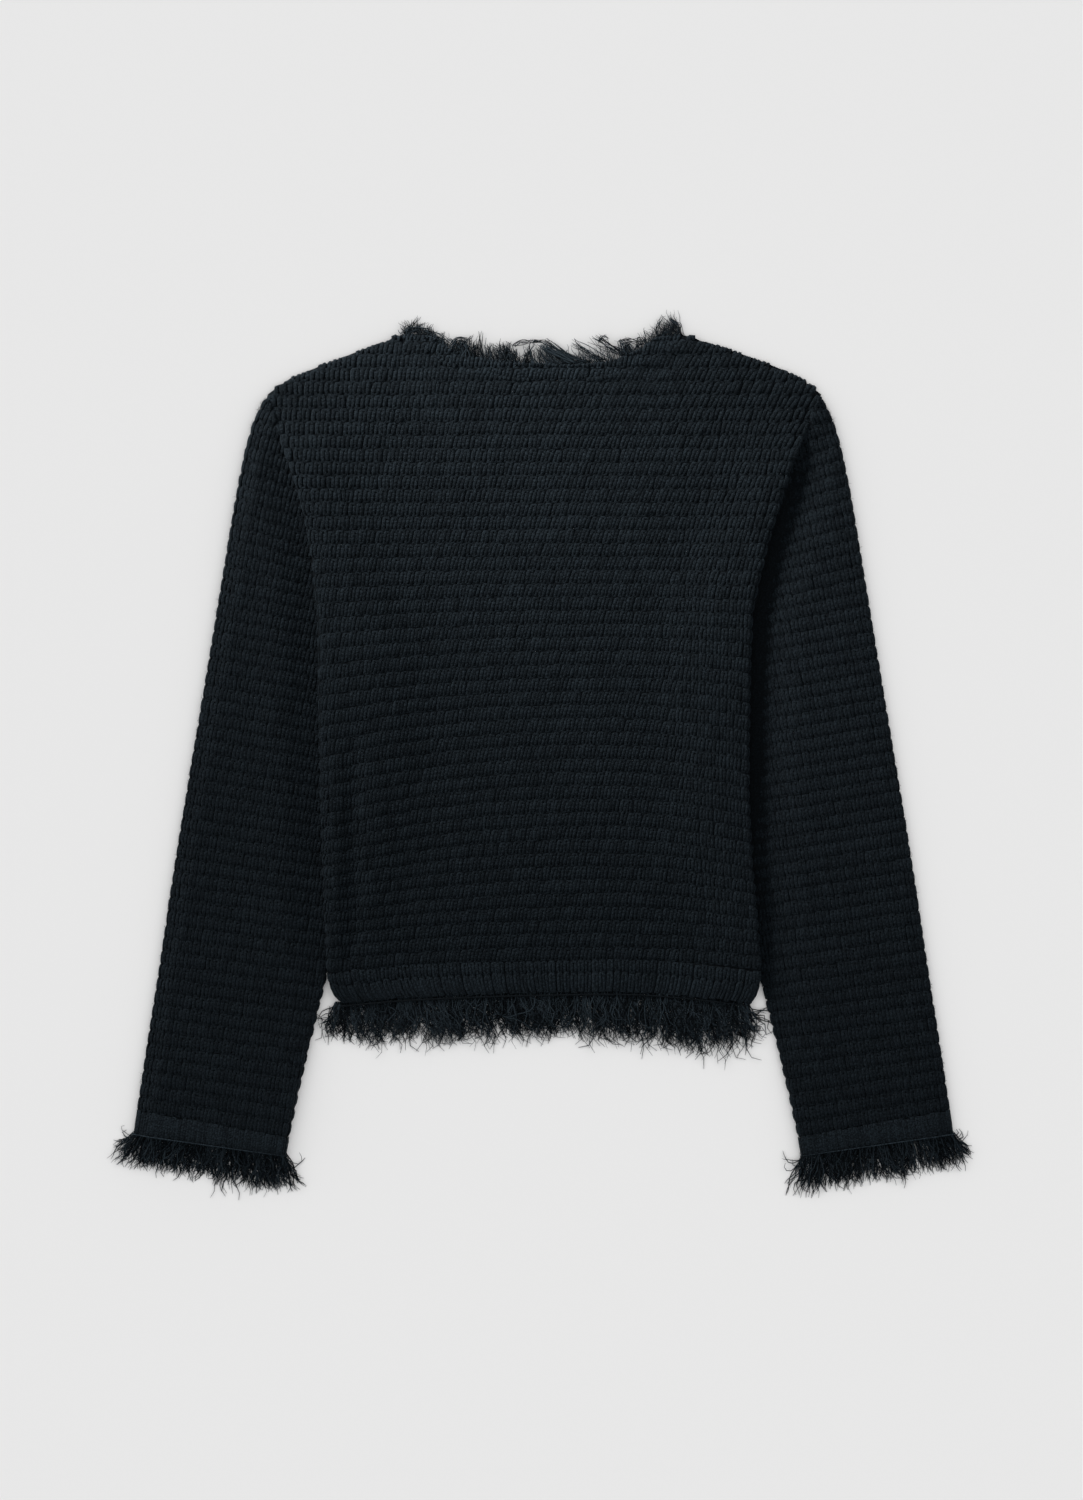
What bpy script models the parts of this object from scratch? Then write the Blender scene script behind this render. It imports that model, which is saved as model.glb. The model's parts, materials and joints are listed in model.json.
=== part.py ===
"""A fringed cardigan in chunky knit, laid flat on a surface with its back up.

Its two fronts lie on the surface, the back lies on them, and the sleeves, flat tubes, lie down
along the sides with their inner edges tucked under the body. X runs across the garment, Y from
the hem to the neck, Z up. Left and right are the wearer's, so the left sleeve is at -X. All sizes
here are in millimetres, and metres are made of them only where the meshes are.
"""

import math
from collections import namedtuple

import bmesh
import bpy
import numpy as np

MM = 0.001

# The cloth.
WALL = 3.0  # one layer of the knit
AIR = 0.8  # between the two layers of a flat tube
FLAT = 2 * WALL + AIR  # two layers lying on each other
RIM = 0.9  # what is left of a layer's thickness at a fold
SEAM = 0.3  # clearance between two pieces at a seam
RISE = FLAT + 0.4  # how high the body is carried where it lies on a sleeve

# Bands and fringes.
HEM_BAND = 27.0
CUFF_BAND = 19.0
NECK_BAND = 13.0
FRINGE_WALL = 2.2
FRINGE_AIR = 0.8
FRINGE_FLAT = 2 * FRINGE_WALL + FRINGE_AIR
FRONT_NECK_DROP = 84.0  # of the front neckline below the neck points
FRONT_NECK_START = math.radians(30.0)  # where on its oval the front neckline starts
NECK_RUN = math.radians(11.8)  # slope of the shoulder along the end of the neck band
NECK_FRINGE = 24.0  # reach of the fronts' own fringe
FRINGE_LEAN = 0.8  # most that this fringe leans in from the neckline, X for each Y
HEM_DROOP = 0.5  # how far the tips of the back's hem fringe come down
NECK_DROOP = 0.9  # and those of its neck fringe

# Where the body comes down off the sleeves.
LIFT_TOP, LIFT_FULL = 283.0, 226.0  # at the shoulder tip, and where the sleeve starts to go under
TUCK_FULL = 96.0  # where the sleeve's edge has reached its place under the body
TUCK_LEAN = 0.35  # slope of the tucked edge above the armpit, X for each Y
DROP_TOP, DROP_END = -184.0, -206.0  # at the hem's corners
RAMP, RAMP_LEAD = 52.0, 6.0  # width of the slope, and how far it ends before the sleeve's edge

# The outline of the body, from hem corner to shoulder tip.
Section = namedtuple("Section", "y left right")
BODY = (
    Section(-204.5, -160.5, 165.5),  # hem corners
    Section(-198.0, -166.5, 169.5),
    Section(-188.0, -171.0, 172.6),
    Section(-172.0, -173.0, 174.0),
    Section(-130.0, -174.6, 170.2),
    Section(-80.0, -176.6, 165.8),
    Section(-25.0, -178.2, 163.8),
    Section(40.0, -179.4, 165.0),
    Section(112.0, -180.6, 167.4),  # armpits
    Section(155.0, -185.2, 177.0),
    Section(197.0, -193.6, 189.2),
    Section(240.0, -206.4, 202.4),
    Section(283.0, -220.5, 222.0),  # shoulder tips
)
SHOULDER = (
    Section(283.0, -220.5, 222.0),
    Section(290.8, -212.6, 214.8),
    Section(298.8, -194.8, 200.0),
    Section(306.8, -175.6, 181.0),
    Section(314.8, -154.6, 160.2),
    Section(322.8, -134.0, 138.0),
    Section(328.74, -119.2, 119.2),  # outer end of the neck band
    Section(331.4, -106.5, 106.5),  # neck points
)

# The edge of the back neckline and of the hem.
Spot = namedtuple("Spot", "x y")
NECKLINE = (
    Spot(-106.5, 331.4),
    Spot(-90.0, 328.8),
    Spot(-77.0, 319.5),
    Spot(-58.0, 313.8),
    Spot(-38.0, 309.4),
    Spot(0.0, 307.0),
    Spot(32.0, 306.4),
    Spot(50.0, 308.8),
    Spot(67.0, 314.0),
    Spot(80.0, 321.4),
    Spot(91.0, 328.6),
    Spot(106.5, 331.4),
)
HEM = (
    Spot(-160.5, -204.5),
    Spot(-115.0, -200.4),
    Spot(-59.0, -197.6),
    Spot(5.0, -195.8),
    Spot(80.0, -195.8),
    Spot(125.0, -199.6),
    Spot(165.5, -204.5),
)

# The sleeves, alike on both sides: distances from the garment's middle.
Edge = namedtuple("Edge", "y x")
SLEEVE_OUTER = (
    Edge(280.5, 221.6),
    Edge(272.0, 226.6),
    Edge(258.0, 232.8),
    Edge(235.0, 238.8),
    Edge(199.0, 246.0),
    Edge(151.0, 254.0),
    Edge(103.0, 262.0),
    Edge(31.0, 274.0),
    Edge(-41.0, 286.2),
    Edge(-113.0, 297.8),
    Edge(-185.0, 308.4),
    Edge(-257.0, 320.0),
    Edge(-308.0, 327.4),  # outer corner of the cuff
)
SLEEVE_INNER = (
    Edge(150.0, 160.0),
    Edge(112.0, 148.0),
    Edge(60.0, 141.0),
    Edge(0.0, 143.5),
    Edge(-60.0, 152.0),
    Edge(-120.0, 162.2),
    Edge(-173.0, 171.6),
    Edge(-209.0, 180.0),
    Edge(-257.0, 191.6),
    Edge(-305.0, 202.4),
    Edge(-325.2, 206.0),  # inner corner of the cuff
)

# The fringes: how far the tips go sideways and how far they reach.
Tips = namedtuple("Tips", "across sway reach")
HEM_TIPS = (
    Tips(0.0, -10.0, 27.0),
    Tips(0.12, -2.0, 31.0),
    Tips(0.5, 0.0, 34.5),
    Tips(0.88, -1.0, 36.0),
    Tips(1.0, -3.0, 33.0),
)
CUFF_TIPS = (
    Tips(0.0, -4.0, 29.5),  # inner corner
    Tips(0.5, 2.0, 29.0),
    Tips(1.0, 13.8, 22.0),  # outer corner
)
NECK_TOP = (Spot(-90.0, 330.6), Spot(-50.0, 330.8), Spot(0.0, 328.0), Spot(45.0, 329.0), Spot(90.0, 330.4))
TUFT = {"left": Spot(-3.0, 9.0), "right": Spot(-1.5, 13.0)}  # tips beside the neck points, from those

# How finely the solids are made.
FOLD_SAMPLES = 400  # points along each fold, from which distances to it are measured
ON_FOLD = 0.4  # a point this near a fold is on it
EDGE_STEPS = (0.0, 1.0, 3.4)  # from a fold inwards
FINE = 301  # points along a row, from which its columns are chosen
NECK_CORNER = 0.47  # where the neck band starts, as a share of half the width
SLOPE_COLUMNS, MIDDLE_COLUMNS = 5, 6  # on the slope, and from there to the centre
WIDE_ROWS, CLOSE_ROWS = 7, 8  # below and above the armpits
SLEEVE_RINGS, SLEEVE_ACROSS = 16, 4
RING_SPREAD = 1.6  # above 1, the rings are closer together at the shoulder
BAND_ROWS = 4
ARMHOLE_POINTS = 12
HEM_SAMPLES = 801
FRINGE_COLUMNS = 24  # across the hem
FRINGE_SHARES = np.array([0.0, 0.5, 1.0])  # rows of a fringe, from its roots to its tips
SIDES = {"left": -1.0, "right": 1.0}

# What they are made of.
Finish = namedtuple("Finish", "colour roughness")
KNIT = Finish((0.010, 0.013, 0.017), 0.9)
BAND = Finish((0.011, 0.014, 0.018), 0.9)
YARN = Finish((0.009, 0.012, 0.015), 0.85)


def through(xs, ys, at):
    """A smooth curve through the points (xs, ys), with xs rising, read at `at`."""
    xs, ys, at = (np.asarray(v, float) for v in (xs, ys, at))
    slopes = np.gradient(ys, xs)
    i = np.clip(np.searchsorted(xs, at) - 1, 0, len(xs) - 2)
    span = xs[i + 1] - xs[i]
    t = (at - xs[i]) / span
    start = ys[i] * (1 + 2 * t) * (1 - t) ** 2 + slopes[i] * span * t * (1 - t) ** 2
    end = ys[i + 1] * t * t * (3 - 2 * t) + slopes[i + 1] * span * t * t * (t - 1)
    return start + end


def along(points, t):
    """The smooth curve through 2-D points, read at t from 0 to 1 of its length."""
    points = np.asarray(points, float)
    steps = np.linalg.norm(np.diff(points, axis=0), axis=1)
    length = np.concatenate([[0.0], np.cumsum(steps)])
    at = np.asarray(t, float) * length[-1]
    return np.stack([through(length, points[:, k], at) for k in (0, 1)], axis=-1)


def ease(t):
    """0 up to t = 0, 1 from t = 1, and a soft slope between."""
    t = np.clip(t, 0.0, 1.0)
    return t * t * (3 - 2 * t)


def column(rows, side):
    """The points of one side of a table of sections."""
    return [(getattr(row, side), row.y) for row in rows]


def body_edge(side, y):
    """X of the body's side edge at height y."""
    return through([row.y for row in BODY], [getattr(row, side) for row in BODY], y)


def sleeve_inner_edge(side, y):
    """X of the hidden edge of the sleeve: beside the body's edge near the shoulder, then under the body."""
    rows = SLEEVE_INNER[::-1]
    tucked = through([row.y for row in rows], [row.x for row in rows], np.minimum(y, SLEEVE_INNER[0].y))
    tucked = tucked + TUCK_LEAN * np.maximum(y - SLEEVE_INNER[0].y, 0.0)
    beside = np.abs(body_edge(side, y)) + 2 * SEAM
    share = ease((LIFT_FULL - y) / (LIFT_FULL - TUCK_FULL))
    return SIDES[side] * (beside + (tucked - beside) * share)


def slope_start(side, y):
    """Distance from the body's edge to where it starts to slope down, inside the sleeve's hidden edge."""
    under = np.abs(body_edge(side, y)) - np.abs(sleeve_inner_edge(side, y))
    return np.maximum(under, 0.0) + RAMP_LEAD


def lift(points):
    """How high the body's underside is above the surface, because it lies on the sleeves."""
    x, y = points[..., 0], np.minimum(points[..., 1], BODY[-1].y)
    amount = ease((LIFT_TOP - y) / (LIFT_TOP - LIFT_FULL)) * ease((y - DROP_END) / (DROP_TOP - DROP_END))
    total = np.zeros(x.shape)
    for side, sign in SIDES.items():
        inside = np.abs(body_edge(side, y)) - sign * x - slope_start(side, y)
        total = np.maximum(total, ease(1 - inside / RAMP))
    return RISE * amount * total


def fold_distance(points):
    """Distance from the nearest folded edge of the body: its sides, armholes and shoulders."""
    t = np.linspace(0.0, 1.0, FOLD_SAMPLES)
    folds = [along(column(rows, side), t) for rows in (BODY, SHOULDER) for side in SIDES]
    folds = np.concatenate(folds)
    flat = points.reshape(-1, 2)
    gaps = np.linalg.norm(flat[:, None] - folds[None], axis=2).min(axis=1)
    return np.where(gaps < ON_FOLD, 0.0, gaps).reshape(points.shape[:-1])


def half_height(points):
    """Half of the body's height at each point, which rounds off to a thin rim at the folds."""
    t = 1 - np.clip(fold_distance(points) / (FLAT / 2), 0.0, 1.0)
    least = AIR / 2 + RIM
    return least + (FLAT / 2 - least) * np.sqrt(1 - t * t)


def patch(bottom, top, left, right, us, vs):
    """Points of the surface that four boundary curves span, in rows at vs and columns at us."""
    u, v = us[None, :, None], vs[:, None, None]
    b, t = bottom(us)[None], top(us)[None]
    low, high = left(vs)[:, None], right(vs)[:, None]
    ends = np.array([0.0, 1.0])
    (b0, b1), (t0, t1) = bottom(ends), top(ends)
    corners = (1 - v) * ((1 - u) * b0 + u * b1) + v * ((1 - u) * t0 + u * t1)
    return (1 - v) * b + v * t + (1 - u) * low + u * high - corners


def material(name, finish):
    mat = bpy.data.materials.new(name)
    mat.use_nodes = True
    shader = mat.node_tree.nodes["Principled BSDF"]
    shader.inputs["Base Color"].default_value = (*finish.colour, 1.0)
    shader.inputs["Roughness"].default_value = finish.roughness
    shader.inputs["Metallic"].default_value = 0.0
    mat.diffuse_color = (*finish.colour, 1.0)
    return mat


def make_object(name, vertices, faces, finish):
    mesh = bpy.data.meshes.new(name)
    mesh.from_pydata((np.asarray(vertices) * MM).tolist(), [], faces)
    shape = bmesh.new()
    shape.from_mesh(mesh)
    bmesh.ops.recalc_face_normals(shape, faces=shape.faces)
    shape.to_mesh(mesh)
    shape.free()
    mesh.materials.append(material(name, finish))
    made = bpy.data.objects.new(name, mesh)
    bpy.context.collection.objects.link(made)
    return made


def slab(name, plan, under, over, finish):
    """A closed layer of cloth: a grid seen from above, with heights for its two faces."""
    rows, columns = plan.shape[:2]
    faces = []
    count = rows * columns
    for r in range(rows - 1):
        for c in range(columns - 1):
            a = r * columns + c
            ring = (a, a + 1, a + columns + 1, a + columns)
            faces.append(tuple(i + count for i in ring))
            faces.append(ring[::-1])
    rim = list(range(columns))
    rim += [r * columns + columns - 1 for r in range(1, rows)]
    rim += [(rows - 1) * columns + c for c in range(columns - 2, -1, -1)]
    rim += [r * columns for r in range(rows - 2, 0, -1)]
    for a, b in zip(rim, rim[1:] + rim[:1]):
        faces.append((a, b, b + count, a + count))
    flat = plan.reshape(-1, 2)
    vertices = np.concatenate([np.c_[flat, under.ravel()], np.c_[flat, over.ravel()]])
    return make_object(name, vertices, faces, finish)


def lying(name, plan, layer, finish):
    """A piece of the body as it lies: layer is back, on top, or front, on the surface."""
    middle = lift(plan) + FLAT / 2
    half = half_height(plan)
    if layer == "back":
        return slab(name, plan, middle + AIR / 2, middle + half, finish)
    return slab(name, plan, middle - half, middle - AIR / 2, finish)


def flat_loop(width, height, inset, steps):
    """(distance across, height) round a flattened tube's section, starting at its inner edge."""
    radius = height / 2 - inset
    turn = np.radians([90.0, 45.0, 0.0, -45.0, -90.0])
    near = inset + radius * (1 - np.cos(turn))
    rise = height / 2 + radius * np.sin(turn)
    across = np.linspace(inset + radius, width - inset - radius, steps + 1)[1:-1]
    low, high = np.full(steps - 1, inset), np.full(steps - 1, height - inset)
    s = np.concatenate([near, across, (width - near)[::-1], across[::-1]])
    z = np.concatenate([rise, low, rise[::-1], high])
    return s, z


def tube(name, rows, height, wall, finish):
    """A flattened tube: rows is a function that gives plan points at a share across, for each ring."""
    outer, inner = [], []
    for row, width in rows:
        for loops, inset in ((outer, 0.0), (inner, wall)):
            s, z = flat_loop(width, height, inset, SLEEVE_ACROSS)
            loops.append(np.c_[row(s / width), z])
    count, rings = len(outer[0]), len(outer)
    faces = []
    total = count * rings
    for r in range(rings - 1):
        for k in range(count):
            a, b = r * count + k, r * count + (k + 1) % count
            faces.append((a, b, b + count, a + count))
            faces.append((total + a + count, total + b + count, total + b, total + a))
    for k in range(count):
        n = (k + 1) % count
        faces.append((total + k, total + n, n, k))
        a, b = (rings - 1) * count + k, (rings - 1) * count + n
        faces.append((a, b, total + b, total + a))
    return make_object(name, np.concatenate(outer + inner), faces, finish)


def neck_end(side):
    return np.array(column(SHOULDER, side)[-1])


def neck_seam(t):
    """Lower edge of the back neck band: the neckline moved out, along the shoulders at its ends."""
    lean = (math.pi / 2 - NECK_RUN) * (2 * np.asarray(t, float) - 1)
    out = np.stack([np.sin(lean), -np.cos(lean)], axis=-1)
    return along(NECKLINE, t) + NECK_BAND * out


def front_neckline(side, t, out=0.0):
    """The front neckline from the neck point to the centre front, or a curve beside it."""
    sign, (x, y) = SIDES[side], neck_end(side)
    first = FRONT_NECK_START
    turn = first + (math.pi / 2 - first) * np.asarray(t, float)
    lean = NECK_RUN + (math.pi / 2 - NECK_RUN) * np.asarray(t, float)
    down = (np.sin(turn) - math.sin(first)) / (1 - math.sin(first))
    curve = np.stack([x * np.cos(turn) / math.cos(first), y - FRONT_NECK_DROP * down], axis=-1)
    return curve + out * np.stack([sign * np.cos(lean), -np.sin(lean)], axis=-1)


def shoulder(side, t):
    """The shoulder fold from its tip to the outer end of the neck band."""
    return along(column(SHOULDER[:-1], side), t)


def spread(first, last, count):
    return np.linspace(first, last, count + 1)[1:]


def body_rows():
    """Shares of the body's height for its rows, closer together near the shoulder fold."""
    height = BODY[-1].y - BODY[0].y
    low = HEM_BAND / height
    armpit = (SLEEVE_INNER[0].y - BODY[0].y) / height
    steps = np.array(EDGE_STEPS) / height
    return np.concatenate([
        [low + SEAM / height],
        spread(low, armpit, WIDE_ROWS),
        spread(armpit, 1 - steps[-1], CLOSE_ROWS),
        (1 - steps[:-1])[::-1],
    ])


def band_rows():
    return np.linspace(0.0, 1.0, BAND_ROWS) * HEM_BAND / (BODY[-1].y - BODY[0].y)


def fit_columns(rows, side):
    """Choose columns on finely spaced rows that run from the side fold to the centre.

    They follow the fold, then the slope beside the sleeve, and one meets the end of the neck band.
    """
    share = np.linspace(0.0, 1.0, rows.shape[1])
    fitted = []
    for row in rows:
        inside = np.abs(row[0, 0]) - SIDES[side] * row[:, 0]
        slope = (inside - slope_start(side, np.minimum(row[:, 1], BODY[-1].y))) / RAMP
        fold = np.interp(EDGE_STEPS, inside, share)
        down = np.interp(np.linspace(0.0, 1.0, SLOPE_COLUMNS + 1), slope, share)
        corner = max(NECK_CORNER, down[-1] + (1 - down[-1]) / (MIDDLE_COLUMNS + 1))
        at = np.concatenate([fold, down, [corner], spread(corner, 1.0, MIDDLE_COLUMNS)])
        fitted.append(np.stack([np.interp(at, share, row[:, k]) for k in (0, 1)], axis=-1))
    return np.array(fitted)


def side_edge(side):
    """The body's side from its hem corner to its shoulder tip, read at shares of its length."""
    return lambda v: along(column(BODY, side), v)


def hem(u):
    return along(HEM, u)


def top_of(neck, side):
    """The top edge of half a body layer: its shoulder, then its neck seam, read at shares of the width."""

    def top(u):
        fold = shoulder(side, np.clip(u / NECK_CORNER, 0, 1))
        curve = neck(side, np.clip((u - NECK_CORNER) / (1 - NECK_CORNER), 0, 1))
        return np.where((u < NECK_CORNER)[:, None], fold, curve)

    return top


def back_neck(side, t):
    return neck_seam(t / 2 if side == "left" else 1 - t / 2)


def front_neck(side, t):
    return off_centre(front_neckline(side, t, NECK_BAND), side)


def off_centre(points, side):
    """Points of a front, kept half a seam's clearance from the centre front."""
    points = np.array(points)
    points[..., 0] = SIDES[side] * np.maximum(SIDES[side] * points[..., 0], SEAM / 2)
    return points


def hem_share():
    """Share of the hem's length at the centre front."""
    t = np.linspace(0.0, 1.0, HEM_SAMPLES)
    return float(np.interp(0.0, hem(t)[:, 0], t))


def make_back():
    """The back panel and its hem band: one surface from the hem to the shoulders, parted at a seam."""
    left_top, right_top = top_of(back_neck, "left"), top_of(back_neck, "right")

    def top(u):
        left, right = left_top(np.minimum(2 * u, 1)), right_top(np.minimum(2 - 2 * u, 1))
        return np.where((u < 0.5)[:, None], left, right)

    us = np.linspace(0.0, 1.0, 2 * FINE - 1)
    for name, vs, finish in (("back", body_rows(), KNIT), ("hem_band_back", band_rows(), BAND)):
        rows = patch(hem, top, side_edge("left"), side_edge("right"), us, vs)
        left, right = fit_columns(rows[:, :FINE], "left"), fit_columns(rows[:, :FINE - 2:-1], "right")
        lying(name, np.concatenate([left, right[:, -2::-1]], axis=1), "back", finish)


def make_front(side):
    """One front and its hem band, from the side to the centre front."""
    top = top_of(front_neck, side)
    centre = hem_share()

    def bottom(u):
        return off_centre(hem(u * centre if side == "left" else 1 - u * (1 - centre)), side)

    def inner(v):
        ends = bottom(np.ones(1)), top(np.ones(1))
        return ends[0] + (ends[1] - ends[0]) * v[:, None]

    us = np.linspace(0.0, 1.0, FINE)
    for name, vs, finish in (("front", body_rows(), KNIT), ("hem_band_front", band_rows(), BAND)):
        rows = patch(bottom, top, side_edge(side), inner, us, vs)
        lying(f"{name}_{side}", fit_columns(rows, side), "front", finish)


def strip(first, second, shares):
    """Plan points between two curves, a row for each share of the way."""
    return first[None] + (second - first)[None] * np.asarray(shares, float)[:, None, None]


def make_neck_bands():
    t = np.linspace(0.0, 1.0, 2 * MIDDLE_COLUMNS + 1)
    shares = (SEAM / NECK_BAND, 0.5, 1.0)
    lying("neck_band_back", strip(neck_seam(t), along(NECKLINE, t), shares), "back", BAND)
    t = np.linspace(0.0, 1.0, MIDDLE_COLUMNS + 1)
    for side in SIDES:
        seam, edge = front_neckline(side, t, NECK_BAND), front_neckline(side, t)
        plan = off_centre(strip(seam, edge, shares), side)
        lying(f"neck_band_front_{side}", plan, "front", BAND)


def make_sleeve(side):
    """The sleeve from the armhole to the cuff band, the band and the fringe round it."""
    sign = SIDES[side]
    outer = [(sign * row.x, row.y) for row in SLEEVE_OUTER]
    armpit = SLEEVE_INNER[1].y
    hidden = [(sign * row.x, row.y) for row in SLEEVE_INNER[1:]]
    ys = np.linspace(SLEEVE_OUTER[0].y, armpit, ARMHOLE_POINTS)
    armhole = np.stack([sleeve_inner_edge(side, ys), ys], axis=-1)
    armhole[0] = outer[0]
    cuff = np.array([hidden[-1], outer[-1]])

    def plan(u, v):
        """Points at shares u across, from the inner edge, and at the share v down the sleeve."""
        v = np.array([v])
        return patch(
            lambda t: cuff[0] + (cuff[1] - cuff[0]) * t[:, None],
            lambda t: along(armhole[::-1], t),
            lambda w: along(hidden[::-1], w),
            lambda w: along(outer[::-1], w),
            np.asarray(u), 1 - v,
        )[0]

    def ring(v):
        ends = plan(np.array([0.0, 1.0]), v)
        return (lambda u: plan(u, v)), float(np.linalg.norm(ends[1] - ends[0]))

    length = SLEEVE_OUTER[0].y - SLEEVE_OUTER[-1].y
    low = CUFF_BAND / length
    shares = (1 - low - SEAM / length) * np.linspace(0.0, 1.0, SLEEVE_RINGS) ** RING_SPREAD
    tube(f"sleeve_{side}", [ring(v) for v in shares], FLAT, WALL, KNIT)
    tube(f"cuff_band_{side}", [ring(v) for v in (1 - low, 1 - low / 2, 1.0)], FLAT, WALL, BAND)

    start = cuff + SEAM * np.array([0.0, -1.0])

    def fringe_ring(share):
        def row(u):
            base = start[0] + (start[1] - start[0]) * np.asarray(u)[:, None]
            across = [t.across for t in CUFF_TIPS]
            sway = through(across, [t.sway for t in CUFF_TIPS], u)
            reach = through(across, [t.reach for t in CUFF_TIPS], u)
            return base + share * np.stack([sign * sway, -reach], axis=-1)
        ends = row(np.array([0.0, 1.0]))
        return row, float(np.linalg.norm(ends[1] - ends[0]))

    rings = [fringe_ring(share) for share in FRINGE_SHARES]
    tube(f"cuff_fringe_{side}", rings, FRINGE_FLAT, FRINGE_WALL, YARN)


def make_hem_fringes():
    """Fringe below the hem: the back's lies on the fronts', and droops a little."""
    across = [t.across for t in HEM_TIPS]

    def reach(u):
        sway = through(across, [t.sway for t in HEM_TIPS], u)
        return np.stack([sway, -through(across, [t.reach for t in HEM_TIPS], u)], axis=-1)

    u = np.linspace(0.0, 1.0, FRINGE_COLUMNS + 1)
    base = hem(u) - (0.0, SEAM)
    plan = strip(base, base + reach(u), FRINGE_SHARES)
    under = np.broadcast_to((WALL + SEAM - HEM_DROOP * FRINGE_SHARES)[:, None], plan.shape[:2])
    slab("hem_fringe_back", plan, under, under + FRINGE_WALL, YARN)
    for side, end in (("left", 0.0), ("right", 1.0)):
        u = np.linspace(end, hem_share(), FRINGE_COLUMNS // 2 + 1)
        base = hem(u) - (0.0, SEAM)
        plan = off_centre(strip(base, base + reach(u), FRINGE_SHARES), side)
        under = np.zeros(plan.shape[:2])
        slab(f"hem_fringe_front_{side}", plan, under, under + FRINGE_WALL, YARN)


def make_neck_fringes():
    """Fringe standing up from the neckline: the back's across the notch, the fronts' under the back."""
    t = np.linspace(0.0, 1.0, 2 * MIDDLE_COLUMNS + 1)[1:-1]
    base = along(NECKLINE, t) + (0.0, SEAM)
    top = base.copy()
    top[:, 1] = through([p.x for p in NECK_TOP], [p.y for p in NECK_TOP], base[:, 0])
    top[:, 1] = np.maximum(top[:, 1], base[:, 1] + 1.0)
    plan = strip(base, top, FRINGE_SHARES)
    under = np.broadcast_to((WALL + AIR - NECK_DROOP * FRINGE_SHARES)[:, None], plan.shape[:2])
    slab("neck_fringe_back", plan, under, under + FRINGE_WALL, YARN)
    for side, sign in SIDES.items():
        t = np.linspace(0.0, 1.0, MIDDLE_COLUMNS + 1)
        inward = FRINGE_LEAN * np.sin(np.pi * t)
        lean = np.stack([-sign * inward, np.ones(len(t))], axis=-1)
        lean /= np.linalg.norm(lean, axis=1)[:, None]
        base = front_neckline(side, t, -2 * SEAM) + 2 * SEAM * lean
        tips = base + NECK_FRINGE * lean
        tips[0] = base[0] + TUFT[side]
        plan = off_centre(strip(base, tips, FRINGE_SHARES), side)
        under = np.zeros(plan.shape[:2])
        slab(f"neck_fringe_front_{side}", plan, under, under + FRINGE_WALL, YARN)


def clear_scene():
    for item in list(bpy.data.objects):
        bpy.data.objects.remove(item, do_unlink=True)


def stand_at_origin():
    """Put the middle of the part's box over the origin, with an empty that carries every piece."""
    corners = np.array([v.co[:] for piece in bpy.data.objects for v in piece.data.vertices])
    low, high = corners.min(axis=0), corners.max(axis=0)
    place = bpy.data.objects.new("cardigan", None)
    bpy.context.collection.objects.link(place)
    for piece in [p for p in bpy.data.objects if p is not place]:
        piece.parent = place
    place.location = (-(low[0] + high[0]) / 2, -(low[1] + high[1]) / 2, -low[2])


clear_scene()
make_back()
for each_side in SIDES:
    make_front(each_side)
    make_sleeve(each_side)
make_neck_bands()
make_hem_fringes()
make_neck_fringes()
stand_at_origin()
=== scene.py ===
# %% [markdown]
# # A fringed cardigan, laid flat with its back up
#
# The cardigan is hand-knitted in thick navy wool. Its rows stand out as rolls, each made of upright
# loops, and it ends in a ribbed band and a thick fringe at the hem, at both cuffs and round the neck.
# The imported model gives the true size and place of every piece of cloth. This lesson dresses it: each
# piece of cloth becomes a thin shell with real loops of yarn on it, and each fringe becomes strands.

# %% Load the model
import json
import math
from collections import namedtuple

import bpy
import numpy as np
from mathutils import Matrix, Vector
from mathutils.bvhtree import BVHTree

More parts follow.
